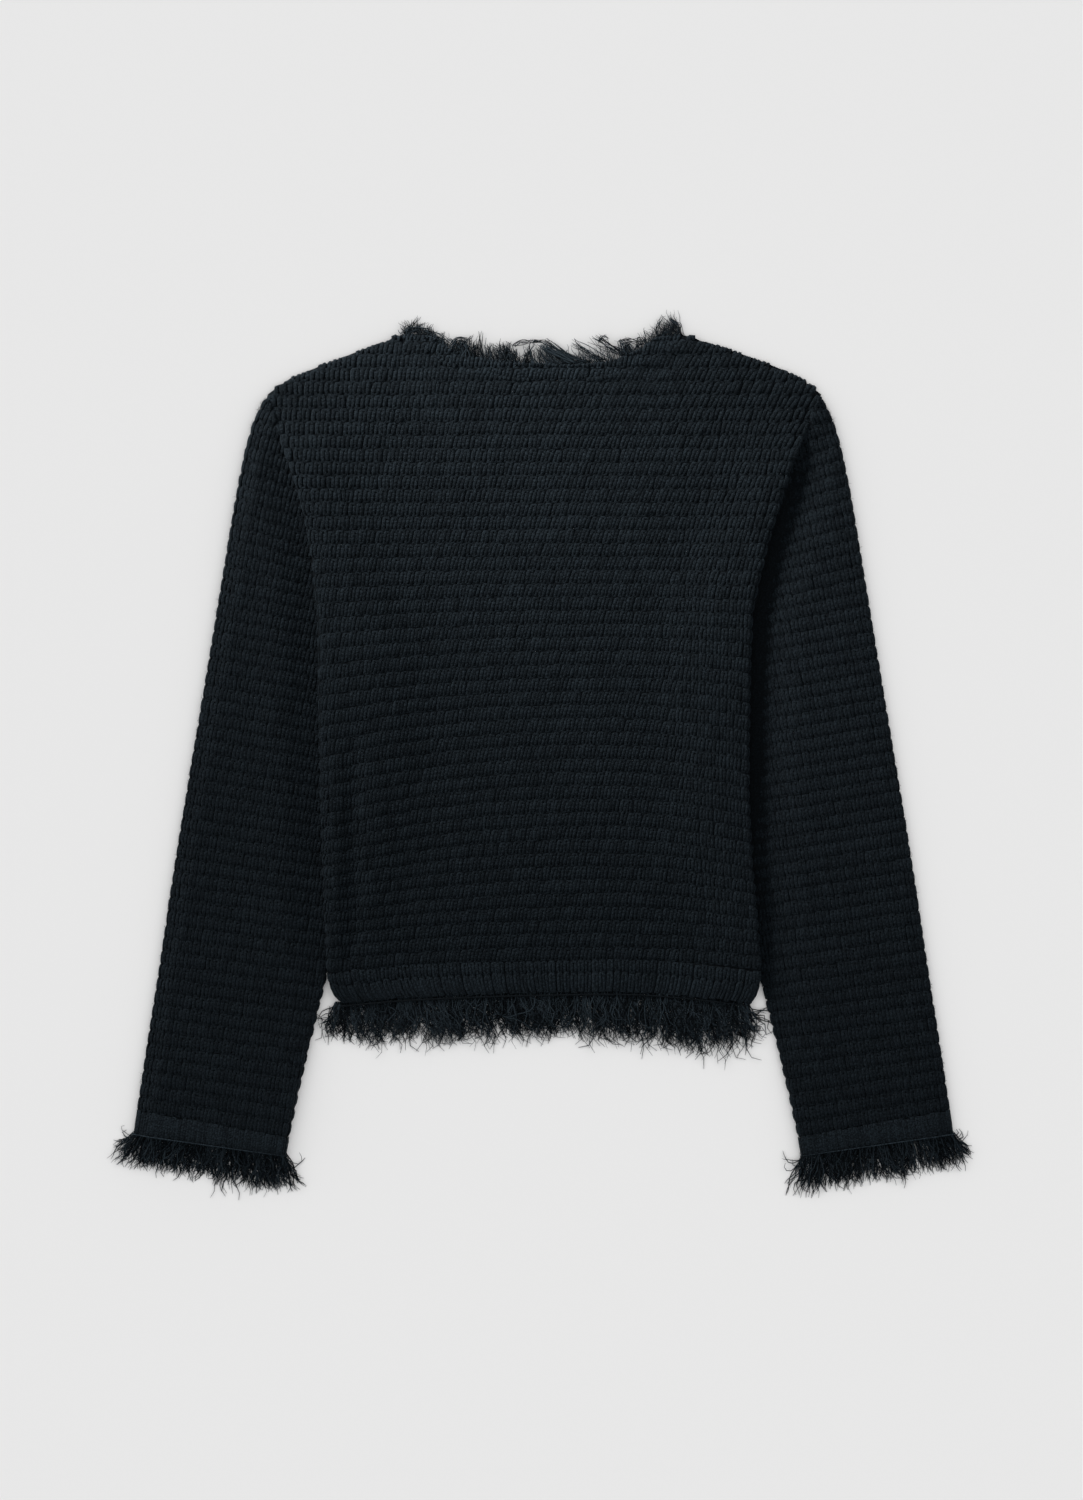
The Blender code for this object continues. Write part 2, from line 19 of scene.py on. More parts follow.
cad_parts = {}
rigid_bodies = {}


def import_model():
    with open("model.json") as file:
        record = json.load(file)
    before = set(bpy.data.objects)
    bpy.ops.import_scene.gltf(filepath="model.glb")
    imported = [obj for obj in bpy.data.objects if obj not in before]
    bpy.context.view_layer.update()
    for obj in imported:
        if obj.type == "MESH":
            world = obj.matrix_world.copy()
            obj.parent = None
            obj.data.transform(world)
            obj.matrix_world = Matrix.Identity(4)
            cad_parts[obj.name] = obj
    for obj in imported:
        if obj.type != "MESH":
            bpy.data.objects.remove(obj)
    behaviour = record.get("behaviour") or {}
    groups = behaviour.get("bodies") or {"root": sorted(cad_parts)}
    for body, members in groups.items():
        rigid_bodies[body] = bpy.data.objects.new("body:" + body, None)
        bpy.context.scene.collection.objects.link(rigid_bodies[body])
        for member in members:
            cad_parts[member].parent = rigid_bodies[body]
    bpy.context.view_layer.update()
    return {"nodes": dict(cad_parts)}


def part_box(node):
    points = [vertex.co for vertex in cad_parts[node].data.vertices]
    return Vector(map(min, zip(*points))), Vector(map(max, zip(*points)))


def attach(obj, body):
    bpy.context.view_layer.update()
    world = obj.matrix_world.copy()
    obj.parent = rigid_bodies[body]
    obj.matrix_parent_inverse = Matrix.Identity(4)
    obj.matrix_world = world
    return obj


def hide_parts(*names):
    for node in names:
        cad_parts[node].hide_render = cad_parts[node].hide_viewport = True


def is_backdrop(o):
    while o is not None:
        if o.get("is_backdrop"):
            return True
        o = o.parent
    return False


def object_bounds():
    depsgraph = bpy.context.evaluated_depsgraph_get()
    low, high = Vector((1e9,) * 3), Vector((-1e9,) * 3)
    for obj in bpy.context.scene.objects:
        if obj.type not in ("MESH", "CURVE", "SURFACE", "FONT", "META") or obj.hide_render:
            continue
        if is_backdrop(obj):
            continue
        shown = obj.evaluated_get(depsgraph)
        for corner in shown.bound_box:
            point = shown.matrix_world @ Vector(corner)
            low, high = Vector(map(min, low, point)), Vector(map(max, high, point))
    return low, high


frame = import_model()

MM = 0.001  # the lesson works in millimetres, and metres are made of them where the meshes are
SIDES = {"left": -1.0, "right": 1.0}  # the wearer's left is at -X

# %% [markdown]
# ## Camera
#
# The garment lies flat, so it is seen best from straight above. The camera has a long lens and stands
# far off, so that nothing leans. Its height follows from how much floor the picture takes in.

# %% Camera
PICTURE_HEIGHT = 1.2  # metres of floor from the picture's lower edge to its upper edge
LENS, SENSOR = 100.0, 36.0
VIEW_CENTRE = (-0.0016, 0.0037, 0.0)

camera_data = bpy.data.cameras.new("camera")
camera_data.lens = LENS
camera_data.sensor_width = SENSOR
camera = bpy.data.objects.new("camera", camera_data)
bpy.context.scene.collection.objects.link(camera)
camera.location = Vector(VIEW_CENTRE) + Vector((0.0, 0.0, PICTURE_HEIGHT * LENS / SENSOR))
bpy.context.scene.camera = camera
print("The camera is", round(camera.location.z, 2), "m above the floor")

# %% [markdown]
# ## Floor
#
# The floor is one big pale plane. It fills the picture from above and reaches far back in a low view, and
# it lies a hair below the cloth. It has no shine, because a bright spot on it would draw the eye away
# from the garment.

# %% Floor
FLOOR_SIZE = 60.0
FLOOR_GREY = 0.80
FLOOR_DROP = 0.0002  # metres below the cloth

bpy.context.scene.view_settings.view_transform = "Standard"
bpy.ops.object.select_all(action="DESELECT")
bpy.ops.mesh.primitive_plane_add(size=FLOOR_SIZE, location=(0, 0, -FLOOR_DROP))
floor = bpy.context.object
floor.name = "floor"
floor_paint = bpy.data.materials.new("floor_paint")
floor_paint.use_nodes = True
floor_shader = floor_paint.node_tree.nodes["Principled BSDF"]
floor_shader.inputs["Base Color"].default_value = (FLOOR_GREY, FLOOR_GREY, FLOOR_GREY, 1)
floor_shader.inputs["Roughness"].default_value = 1.0
floor_shader.inputs["Specular IOR Level"].default_value = 0.0
floor.data.materials.append(floor_paint)
floor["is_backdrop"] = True
print("The floor is", FLOOR_SIZE, "m across")

# %% [markdown]
# ## Light
#
# A softbox stands close beyond the left shoulder, low over the floor, so the rolls of the knit are bright
# on their neck side, the light fades towards the hem and cuffs, and the body shades the groove on its
# right. A spot from the same side puts a soft pool of light on the upper back, and a dim, slightly cool
# surround fills the shadows. One close lamp would light the floor unevenly, so light linking keeps these
# two off it. The floor has a sun of its own, very wide and slightly warm like a tent of light, under
# which it stays plain grey and the garment's shadow is faint.

# %% Lamps
SURROUND = 0.36
COOL, WARM = (0.94, 1.0, 1.05), (1.034, 1.0, 0.972)  # of the surround and of the tent
TENT_STRENGTH, TENT_ELEVATION, TENT_ANGLE = 2.68, 32.0, 178.0  # angles in degrees
Lamp = namedtuple("Lamp", "kind power size place aim")
SOFTBOX = Lamp("AREA", 18.5, 0.75, (-1.25, 1.15, 0.8), (0.0, 0.0, 0.0))
POOL = Lamp("SPOT", 92.0, 0.2, (-0.95, 1.1, 0.72), (-0.035, 0.31, 0.0))
POOL_REACH = 0.29  # how far from its aim the pool of light fades out, in metres
floor_lit, cloth_lit = bpy.data.collections.new("floor_lit"), bpy.data.collections.new("cloth_lit")
floor_lit.objects.link(floor)


def add_lamp(name, kind, power, receivers):
    """A lamp that lights the objects of one collection."""
    lamp = bpy.data.objects.new(name, bpy.data.lights.new(name, kind))
    bpy.context.scene.collection.objects.link(lamp)
    lamp.light_linking.receiver_collection = receivers
    lamp.data.energy = power
    return lamp


def aim_lamp(name, lamp):
    """A lamp for the cloth, turned towards its aim."""
    made = add_lamp(name, lamp.kind, lamp.power, cloth_lit)
    made.location = lamp.place
    made.rotation_euler = (Vector(lamp.aim) - Vector(lamp.place)).to_track_quat("-Z", "Y").to_euler()
    return made


tent = add_lamp("tent", "SUN", TENT_STRENGTH, floor_lit)
tent.data.color = WARM
tent.data.angle = math.radians(TENT_ANGLE)
tent.rotation_euler = (-math.radians(90 - TENT_ELEVATION), 0.0, 0.0)
softbox = aim_lamp("softbox", SOFTBOX)
softbox.data.size = SOFTBOX.size
pool = aim_lamp("pool", POOL)
pool.data.shadow_soft_size = POOL.size
pool.data.spot_blend = 1.0
pool.data.spot_size = 2 * math.atan(POOL_REACH / (Vector(POOL.aim) - Vector(POOL.place)).length)

world = bpy.data.worlds.new("surround")
bpy.context.scene.world = world
world.use_nodes = True
world.node_tree.nodes["Background"].inputs["Color"].default_value = (*COOL, 1)
world.node_tree.nodes["Background"].inputs["Strength"].default_value = SURROUND
print("Lamps:", ", ".join(lamp.name for lamp in (tent, softbox, pool)))

# %% [markdown]
# ## Reading the cloth from the model
#
# The model has each piece of cloth as a plain solid. Three things are read from it: how far it reaches
# at any height or place across, which gives its outline, its corners, and how high its upper face lies.
# Reading them keeps every thread where the solid is, and no outline is written down twice.

# %% Outlines, corners and heights
CUT_MARGIN = 0.02  # a cut is made at least this far inside the solid
CORNER_GAP, EDGE_STEPS = 0.4, 400  # an edge is read in so many steps, from a little past its corners
ABOVE = 5.0  # heights are read by looking down from this far above the solid


def triangles(node):
    """The solid's triangles in millimetres: an array of triangle, corner and axis."""
    mesh = frame["nodes"][node].data
    mesh.calc_loop_triangles()
    points = np.array([v.co[:] for v in mesh.vertices]) / MM
    return points[np.array([t.vertices[:] for t in mesh.loop_triangles])]


def span(tris, at, along):
    """Lowest and highest reach of the cut through the solid at each x (along=0) or y (along=1)."""
    a, b = tris.reshape(-1, 3), tris[:, (1, 2, 0)].reshape(-1, 3)
    rising = (a[:, along] < b[:, along])[:, None]
    low, high = np.where(rising, a, b), np.where(rising, b, a)
    first, last, start, end = low[:, along], high[:, along], low[:, 1 - along], high[:, 1 - along]
    at = np.clip(np.asarray(at, float), first.min() + CUT_MARGIN, last.max() - CUT_MARGIN)[:, None]
    hit = (first <= at) & (last >= at) & (last > first)
    reach = start + (end - start) * (at - first) / np.maximum(last - first, 1e-9)
    return np.where(hit, reach, np.inf).min(axis=1), np.where(hit, reach, -np.inf).max(axis=1)


def corner(tris, dx, dy):
    """The solid's outermost point in plan, in the direction (dx, dy)."""
    flat = tris[:, :, :2].reshape(-1, 2)
    return flat[np.argmax(flat @ (dx, dy))]


def edge(tris, start, end, along, side):
    """The solid's edge between two corners: where it is along, and how far it reaches there."""
    at = np.linspace(start[along] + CORNER_GAP, end[along] - CORNER_GAP, EDGE_STEPS)
    reach = span(tris, at, along)[side]
    at = np.concatenate([[start[along]], at, [end[along]]])
    return at, np.concatenate([[start[1 - along]], reach, [end[1 - along]]])


def smooth(values, times):
    """Each value drawn towards its neighbours along both axes, to round off the solid's facets."""
    for _ in range(times):
        for axis in (0, 1):
            padded = np.concatenate([values.take([0], axis), values, values.take([-1], axis)], axis)
            count = values.shape[axis]
            before, after = padded.take(range(count), axis), padded.take(range(2, count + 2), axis)
            values = (before + 2 * values + after) / 4
    return values


def heights(tris, x, y):
    """How high the solid's upper face lies at each point."""
    flat = tris.reshape(-1, 3)
    faces = np.arange(len(flat)).reshape(-1, 3).tolist()
    tree = BVHTree.FromPolygons(flat.tolist(), faces)
    above = flat[:, 2].max() + ABOVE
    found = np.zeros(x.size)
    for i, (a, b) in enumerate(zip(x.ravel(), y.ravel())):
        hit = tree.ray_cast((a, b, above), (0, 0, -1))[0] or tree.find_nearest((a, b, above))[0]
        found[i] = hit[2]
    return found.reshape(x.shape)


print("The model has", len(frame["nodes"]), "solids")

# %% [markdown]
# ## A piece of cloth as a surface
#
# Yarn has to be laid on the cloth, so the cloth is first a table of points: a column for each place
# across and a row for each place up it. At a fold the cloth turns down in a quarter circle, and the
# columns go round it. `Cloth.at` then finds the point, and the direction out of the cloth, for any
# stitch and row. Stitches are counted across, and rows are counted up from the lower edge.

# %% The surface
def resample(values, columns, rows):
    """A table of values read at more places, in straight lines between the known ones."""
    across, up = np.linspace(0, 1, values.shape[0]), np.linspace(0, 1, values.shape[1])
    wide = np.stack([np.interp(np.linspace(0, 1, columns), across, values[:, j])
                     for j in range(values.shape[1])], axis=1)
    return np.stack([np.interp(np.linspace(0, 1, rows), up, line) for line in wide])


def read_evenly(values, share):
    """A value at a share of the way across or up a cloth, from values at even steps."""
    return np.interp(share, np.linspace(0, 1, len(values)), values)


class Cloth:
    """A surface of points (columns, rows, 3), with its stitches and rows counted on it."""

    def __init__(self, points, legs, row_count):
        self.points = points
        columns, rows = points.shape[:2]
        du, dv = np.gradient(points, axis=0), np.gradient(points, axis=1)
        normal = np.cross(du, dv)
        length = np.linalg.norm(normal, axis=2, keepdims=True)
        normal = np.where(length > 1e-6, normal / np.maximum(length, 1e-6), (0.0, 0.0, 1.0))
        self.normal = normal if normal[columns // 2, rows // 2, 2] > 0 else -normal
        self.legs = legs if hasattr(legs, "__len__") else np.full(rows, float(legs))
        self.lines = np.linspace(row_count.min() - 1, row_count.max() + 1, 4 * rows)
        share = np.linspace(0, 1, rows)
        self.table = np.stack([np.interp(self.lines, counts, share) for counts in row_count])
        self.low, self.high = row_count[:, 0], row_count[:, -1]
        self.pitch = np.linalg.norm(np.diff(points, axis=0), axis=2).sum(axis=0) / self.legs

    def read(self, table, f, v):
        """A table's value at shares f across and v up, between its known points."""
        i = np.clip(f * (table.shape[0] - 1), 0, table.shape[0] - 1.001)
        j = np.clip(v * (table.shape[1] - 1), 0, table.shape[1] - 1.001)
        a, b = i.astype(int), j.astype(int)
        s, t = i - a, j - b
        if table.ndim == 3:
            s, t = s[..., None], t[..., None]
        near = table[a, b] * (1 - t) + table[a, b + 1] * t
        far = table[a + 1, b] * (1 - t) + table[a + 1, b + 1] * t
        return near * (1 - s) + far * s

    def place(self, u, row):
        """Shares across and up for the leg number u and the row number."""
        w = (row - self.lines[0]) / (self.lines[-1] - self.lines[0])
        f = u / self.legs.mean()
        v = self.read(self.table, np.clip(f, 0, 1), w)
        for _ in range(2):
            f = u / read_evenly(self.legs, v)
            v = self.read(self.table, np.clip(f, 0, 1), w)
        return f, v

    def at(self, u, row):
        """The point of the cloth, and the direction out of it, at a leg number and a row number."""
        f, v = self.place(u, row)
        f = np.clip(f, 0, 1)
        return self.read(self.points, f, v), self.read(self.normal, f, v)


# %% [markdown]
# ## A flat piece
#
# A flat piece has four corners, or two tips if it is a crescent. Its table is spread between its four
# edges, as a cloth is pulled into a frame. The heights are read from the solid, but only at a few places
# and never on its rim, and then smoothed, so that its facets don't show. The folds are rounded after
# that: `drop` is how far the cloth has turned down there.

# %% Flat pieces
FOLD = 3.4  # radius of a folded edge, half the thickness of two layers
SAMPLE = 46  # heights are read at so many places across, and half as many again up the cloth
RIM, FOLD_RIM = 0.4, 1.2  # no height is read nearer to an edge, in millimetres and in radii of its fold


def rounded(distance, radius):
    """How far the cloth has turned down at a distance from the fold."""
    t = 1 - np.clip(distance / np.maximum(radius, 1e-3), 0.0, 1.0)
    return radius * (1 - np.sqrt(1 - t * t))


def soft_step(t):
    t = np.clip(t, 0.0, 1.0)
    return t * t * (3 - 2 * t)


def between_folds(wide, radius, columns):
    """Even steps over a cloth and round the folds at its sides: the way across, and how far down."""
    extra, turn = (math.pi / 2 - 1) * radius, math.pi / 2 * radius
    walk = np.linspace(0, 1, columns)[:, None] * (wide + 2 * extra)
    back = wide + 2 * extra - walk
    offset = np.where(walk < turn, radius * (1 - np.cos(np.minimum(walk, turn) / radius)), walk - extra)
    offset = np.where(back < turn, wide - radius * (1 - np.cos(np.minimum(back, turn) / radius)), offset)
    return offset, radius * (1 - np.sin(np.minimum(np.minimum(walk, back), turn) / radius))


def panel_points(node, columns, rows, sides=0.0, top=0.0, bottom=0.0, crescent=False):
    """The upper face of a flat piece, as a table of points that goes round its folds.

    sides and top are the radii of its folds, or give them for heights up the cloth and places across.
    """
    tris = triangles(node)
    v = np.linspace(0, 1, rows)[None]
    if crescent:
        corners = [corner(tris, -1, 0), corner(tris, 1, 0)] * 2
    else:
        corners = [corner(tris, *way) for way in ((-0.3, -1), (0.3, -1), (-1, 0.3), (1, 0.3))]
    under, over = edge(tris, *corners[:2], 0, 0), edge(tris, *corners[2:], 0, 1)
    edge_y = [corners[k][1] + (corners[k + 2][1] - corners[k][1]) * v for k in (0, 1)]
    if crescent:
        edge_x = [np.full((1, rows), corners[k][0]) for k in (0, 1)]
    else:
        left, right = (edge(tris, corners[k], corners[k + 2], 1, k) for k in (0, 1))
        edge_x = [np.interp(edge_y[0], *left), np.interp(edge_y[1], *right)]
    wide = edge_x[1] - edge_x[0]
    radius = sides((edge_y[0] + edge_y[1]) / 2) if callable(sides) else sides
    radius = np.broadcast_to(np.maximum(radius, 1e-3), (1, rows))
    offset, drop = between_folds(wide, radius, columns)
    u, x = offset / wide, edge_x[0] + offset
    low_x, high_x = (corners[k][0] + (corners[k + 1][0] - corners[k][0]) * u for k in (0, 2))
    base_y, top_y = np.interp(low_x, *under), np.interp(high_x, *over)
    if crescent:
        y = base_y + (top_y - base_y) * v
    else:
        flat = (1 - v) * ((1 - u) * corners[0][1] + u * corners[1][1])
        flat = flat + v * ((1 - u) * corners[2][1] + u * corners[3][1])
        y = (1 - v) * base_y + v * top_y + (1 - u) * edge_y[0] + u * edge_y[1] - flat
    top = top(x) if callable(top) else np.full(x.shape, float(top))

    spread = (x, y, np.broadcast_to(radius, x.shape), top)
    at_x, at_y, side_rim, top_rim = (resample(a, SAMPLE, SAMPLE * 3 // 2) for a in spread)
    if not crescent:
        margin = FOLD_RIM * side_rim + RIM
        at_x = np.clip(at_x, np.interp(at_y, *left) + margin, np.interp(at_y, *right) - margin)
    lower, upper = np.interp(at_x, *under), np.interp(at_x, *over)
    middle = (lower + upper) / 2
    at_y = np.clip(at_y, np.minimum(lower + RIM, middle),
                   np.maximum(upper - FOLD_RIM * top_rim - RIM, middle))
    z = smooth(resample(smooth(heights(tris, at_x, at_y), 2), columns, rows), 3)

    slope = smooth(np.gradient(over[1], over[0])[:, None], 4)[:, 0]
    fall = (np.interp(x, *over) - y) * np.cos(np.arctan(np.interp(x, over[0], slope)))
    drop = np.maximum(drop, rounded(fall, top))
    drop = np.maximum(drop, rounded(y - np.interp(x, *under), bottom))
    return np.stack([x, y, z - drop], axis=2)


# %% [markdown]
# ## Spun yarn
#
# The yarn is spun of two plies, so streaks of fibre run round each strand at a slant, and a fine grain of
# fibre ends lies over them. All wools share one node group, which turns the way along a strand and round
# it into a colour and a height. Each strand carries those two, and a chance value of its own, in an
# attribute called `yarn`. The grain and the larger patches of tone go by the place on the garment.

# %% The yarn node group
def add_node(tree, kind, place, **settings):
    """A node at its place in the editor, with its settings."""
    node = tree.nodes.new(kind)
    node.location = place
    for key, value in settings.items():
        setattr(node, key, value)
    return node


def math_node(tree, operation, place, *values, clamp=False):
    """A Math node whose inputs are sockets or numbers."""
    node = add_node(tree, "ShaderNodeMath", place, operation=operation, use_clamp=clamp)
    for k, value in enumerate(values):
        if isinstance(value, bpy.types.NodeSocket):
            tree.links.new(value, node.inputs[k])
        else:
            node.inputs[k].default_value = value
    return node.outputs[0]


def noise_node(tree, place, vector, scale, detail):
    node = add_node(tree, "ShaderNodeTexNoise", place, noise_dimensions="3D")
    node.inputs["Scale"].default_value = scale
    node.inputs["Detail"].default_value = detail
    tree.links.new(vector, node.inputs["Vector"])
    return node.outputs["Fac"]


YARN_INPUTS = (
    ("Strand", "Vector", None),
    ("Place", "Vector", None),
    ("Dark", "Color", (0.006, 0.008, 0.010, 1)),
    ("Light", "Color", (0.012, 0.016, 0.020, 1)),
    ("Ply length", "Float", 3.0),
    ("Variety", "Float", 0.5),
)
STREAKS_ROUND, STREAKS_ALONG, STREAKS_APART = 5.0, 0.45, 40.0  # how the streaks are drawn out
GRAIN, PATCHES = 1050.0, 55.0  # in each metre
PLY_HEIGHT = 0.2
TONE_START, PATCH_TONE, GRAIN_TONE, STREAK_TONE = -3.24, 0.4, 4.6, 2.2  # 0 is dark, and 1 is light


def make_yarn_group():
    """The group: a strand's two plies and streaks, and the fibres that lie over them."""
    tree = bpy.data.node_groups.new("spun_yarn", "ShaderNodeTree")
    for name, kind, value in YARN_INPUTS:
        socket = tree.interface.new_socket(name, in_out="INPUT", socket_type="NodeSocket" + kind)
        if value is not None:
            socket.default_value = value
    for name, kind in (("Color", "Color"), ("Height", "Float")):
        tree.interface.new_socket(name, in_out="OUTPUT", socket_type="NodeSocket" + kind)
    start, end = add_node(tree, "NodeGroupInput", (-900, 0)), add_node(tree, "NodeGroupOutput", (700, 0))
    given = start.outputs
    split = add_node(tree, "ShaderNodeSeparateXYZ", (-700, 150))
    tree.links.new(given["Strand"], split.inputs[0])
    length, turn, chance = split.outputs
    turns = math_node(tree, "DIVIDE", (-500, 200), length, given["Ply length"])
    lean = math_node(tree, "ADD", (-350, 200), turns, turn)
    angle = math_node(tree, "MULTIPLY", (-200, 200), lean, 2 * math.pi)
    ply = math_node(tree, "SINE", (-50, 200), angle)
    drawn = add_node(tree, "ShaderNodeCombineXYZ", (-200, 0))
    streak_sizes = ((length, STREAKS_ALONG), (lean, STREAKS_ROUND), (chance, STREAKS_APART))
    for k, (value, size) in enumerate(streak_sizes):
        tree.links.new(math_node(tree, "MULTIPLY", (-400, 50 - 60 * k), value, size), drawn.inputs[k])
    streaks = noise_node(tree, (-50, 0), drawn.outputs[0], 1.0, 3.0)
    grain = noise_node(tree, (-500, -200), given["Place"], GRAIN, 2.0)
    patches = noise_node(tree, (-500, -450), given["Place"], PATCHES, 3.0)
    tall = math_node(tree, "MULTIPLY", (100, 200), ply, PLY_HEIGHT)
    tall = math_node(tree, "ADD", (250, 200), tall, streaks)
    height = math_node(tree, "ADD", (400, 150), tall, grain)
    own = math_node(tree, "SUBTRACT", (-350, -150), chance, 0.5)
    tone = TONE_START
    for k, (value, weight) in enumerate(((own, given["Variety"]), (patches, PATCH_TONE),
                                         (grain, GRAIN_TONE), (streaks, STREAK_TONE))):
        part = math_node(tree, "MULTIPLY", (100, -100 - 150 * k), value, weight)
        tone = math_node(tree, "ADD", (250, -100 - 150 * k), part, tone)
    tone = math_node(tree, "MULTIPLY", (400, -150), tone, 1.0, clamp=True)
    mix = add_node(tree, "ShaderNodeMix", (520, -50), data_type="RGBA")
    tree.links.new(tone, mix.inputs["Factor"])
    for k, name in ((6, "Dark"), (7, "Light")):
        tree.links.new(given[name], mix.inputs[k])
    tree.links.new(mix.outputs[2], end.inputs["Color"])
    tree.links.new(height, end.inputs["Height"])
    return tree


yarn_group = make_yarn_group()
print("The yarn group has", len(yarn_group.nodes), "nodes")

# %% [markdown]
# ## The navy wools
#
# The colour is nearly black, a little bluer where fibres catch the light. The sleeves' wool is matted, so
# it is more even than the body's, and it is painted a little darker: painted shade for the lower light
# on the sleeves and for the shade that their flatter loops don't cast. The bands are a little lighter,
# the chain along the cuffs is lighter still, and the loose fringe shows the strongest lights and darks.
# Each wool is the group with its own values. Its soft bloom is the shader's sheen, and its shine is kept low.

# %% The wools
Wool = namedtuple("Wool", "name dark light ply variety bump sheen")
WOOLS = (
    Wool("loop_wool", (0.0028, 0.0045, 0.0060), (0.0156, 0.0222, 0.0276), 3.4, 0.5, 0.7, 0.04),
    # painted shade: the body's wool painted a little darker for the sleeves
    Wool("shaded_sleeve_wool", (0.0029, 0.0046, 0.0062), (0.0138, 0.0198, 0.0248), 3.4, 0.4, 0.7, 0.04),
    Wool("band_wool", (0.0038, 0.0058, 0.0076), (0.0200, 0.0284, 0.0352), 3.0, 0.5, 0.7, 0.04),
    Wool("edge_wool", (0.0120, 0.0175, 0.0225), (0.0450, 0.0620, 0.0750), 3.0, 0.3, 0.7, 0.05),
    Wool("fringe_wool", (0.0012, 0.0021, 0.0029), (0.0320, 0.0438, 0.0528), 2.2, 2.6, 0.4, 0.05),
    # painted shade: the ground's wool is the loops' navy painted darker, for the shade between the loops
    Wool("shaded_backing_wool", (0.0024, 0.0037, 0.0048), (0.0082, 0.0114, 0.0142), 3.4, 0.5, 0.5, 0.02),
)
WOOL_FINISH = {"Roughness": 0.9, "Specular IOR Level": 0.12, "Sheen Roughness": 0.55,
               "Sheen Tint": (0.56, 0.76, 0.94, 1.0)}
FIBRE_HEIGHT = 0.0008  # of the bump, in metres


def make_wool(wool):
    """A material with the yarn group, a bump and the Principled shader."""
    material = bpy.data.materials.new(wool.name)
    material.use_nodes = True
    tree = material.node_tree
    shader = tree.nodes["Principled BSDF"]
    strand = add_node(tree, "ShaderNodeAttribute", (-900, 200), attribute_name="yarn")
    place = add_node(tree, "ShaderNodeTexCoord", (-900, -100))
    yarn = add_node(tree, "ShaderNodeGroup", (-600, 100), node_tree=yarn_group)
    bump = add_node(tree, "ShaderNodeBump", (-300, -100))
    values = ((shader, {**WOOL_FINISH, "Sheen Weight": wool.sheen}),
              (yarn, {"Dark": (*wool.dark, 1), "Light": (*wool.light, 1), "Ply length": wool.ply,
                      "Variety": wool.variety}),
              (bump, {"Strength": wool.bump, "Distance": FIBRE_HEIGHT}))
    for node, settings in values:
        for key, value in settings.items():
            node.inputs[key].default_value = value
    for output, wanted in ((strand.outputs["Vector"], yarn.inputs["Strand"]),
                           (place.outputs["Object"], yarn.inputs["Place"]),
                           (yarn.outputs["Height"], bump.inputs["Height"]),
                           (yarn.outputs["Color"], shader.inputs["Base Color"]),
                           (bump.outputs["Normal"], shader.inputs["Normal"])):
        tree.links.new(output, wanted)
    return material


wools = {wool.name: make_wool(wool) for wool in WOOLS}
print("Wools:", ", ".join(wools))

# %% [markdown]
# ## The cloth under the loops
#
# Behind the loops runs a close, flat ground of wool. It is made as a thin shell: a grid is added, its
# points are put where the surface says, and Solidify gives it its thickness. Its upper face lies a
# little below the crests of the loops, so it shows only between them. Its wool is the loops' navy
# painted darker: painted shade for the dark between the loops.

# %% Shells
Cut = namedtuple("Cut", "width length area")  # of a sheet laid out flat, in metres
GROUND_DEPTH = 1.25  # of the ground's upper face below the crests of the loops
GROUND_WALL = 1.1
WELD = 1e-5  # points nearer than this, in metres, become one
FLOOR_GAP = 0.05  # nothing comes nearer to the floor


def finish_piece(piece, material):
    """Gives a piece its wool, smooth faces and its body, and puts it in the lamps' light."""
    piece.data.materials.clear()
    piece.data.materials.append(wools[material])
    piece.data.polygons.foreach_set("use_smooth", np.ones(len(piece.data.polygons), bool))
    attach(piece, "root")
    cloth_lit.objects.link(piece)


def shell(name, points, thickness, closed=False, inward=False):
    """A grid whose points are put in place, given a wall by Solidify.

    closed joins its two sides, and inward turns its faces over first.
    """
    columns, rows = points.shape[:2]
    bpy.ops.object.select_all(action="DESELECT")
    bpy.ops.mesh.primitive_grid_add(x_subdivisions=columns - 1, y_subdivisions=rows - 1, size=2)
    piece = bpy.context.object
    piece.name = piece.data.name = name
    flat = np.empty(len(piece.data.vertices) * 3)
    piece.data.vertices.foreach_get("co", flat)
    flat = flat.reshape(-1, 3)
    i = np.rint((flat[:, 0] + 1) / 2 * (columns - 1)).astype(int)
    j = np.rint((flat[:, 1] + 1) / 2 * (rows - 1)).astype(int)
    piece.data.vertices.foreach_set("co", (points[i, j] * MM).ravel())
    bpy.ops.object.mode_set(mode="EDIT")
    bpy.ops.mesh.select_all(action="SELECT")
    if closed:
        bpy.ops.mesh.remove_doubles(threshold=WELD)
    if inward:
        bpy.ops.mesh.flip_normals()
    bpy.ops.object.mode_set(mode="OBJECT")
    wall = piece.modifiers.new("wall", "SOLIDIFY")
    wall.thickness = thickness * MM
    wall.offset = -1.0
    bpy.ops.object.modifier_apply(modifier="wall")
    return piece


def add_ground(node, points, closed=False, inward=False):
    """The cloth under the loops of a solid, in the solid's place."""
    ground = shell(f"{node}_ground", points, GROUND_WALL, closed, inward)
    # the ground's wool is painted darker: painted shade between the loops
    finish_piece(ground, "shaded_backing_wool")
    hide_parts(node)


# %% [markdown]
# ## One stitch, and thousands of it
#
# Each stitch shows as an upright loop: two legs close together, joined by a small arch at the top and
# running down to a point that slips under the row below. A torus of eight steps with four sides gives the
# faces. Its steps are drawn to the shape of the loop and laid on the cloth once for each stitch, so all
# stitches of a piece are one mesh.

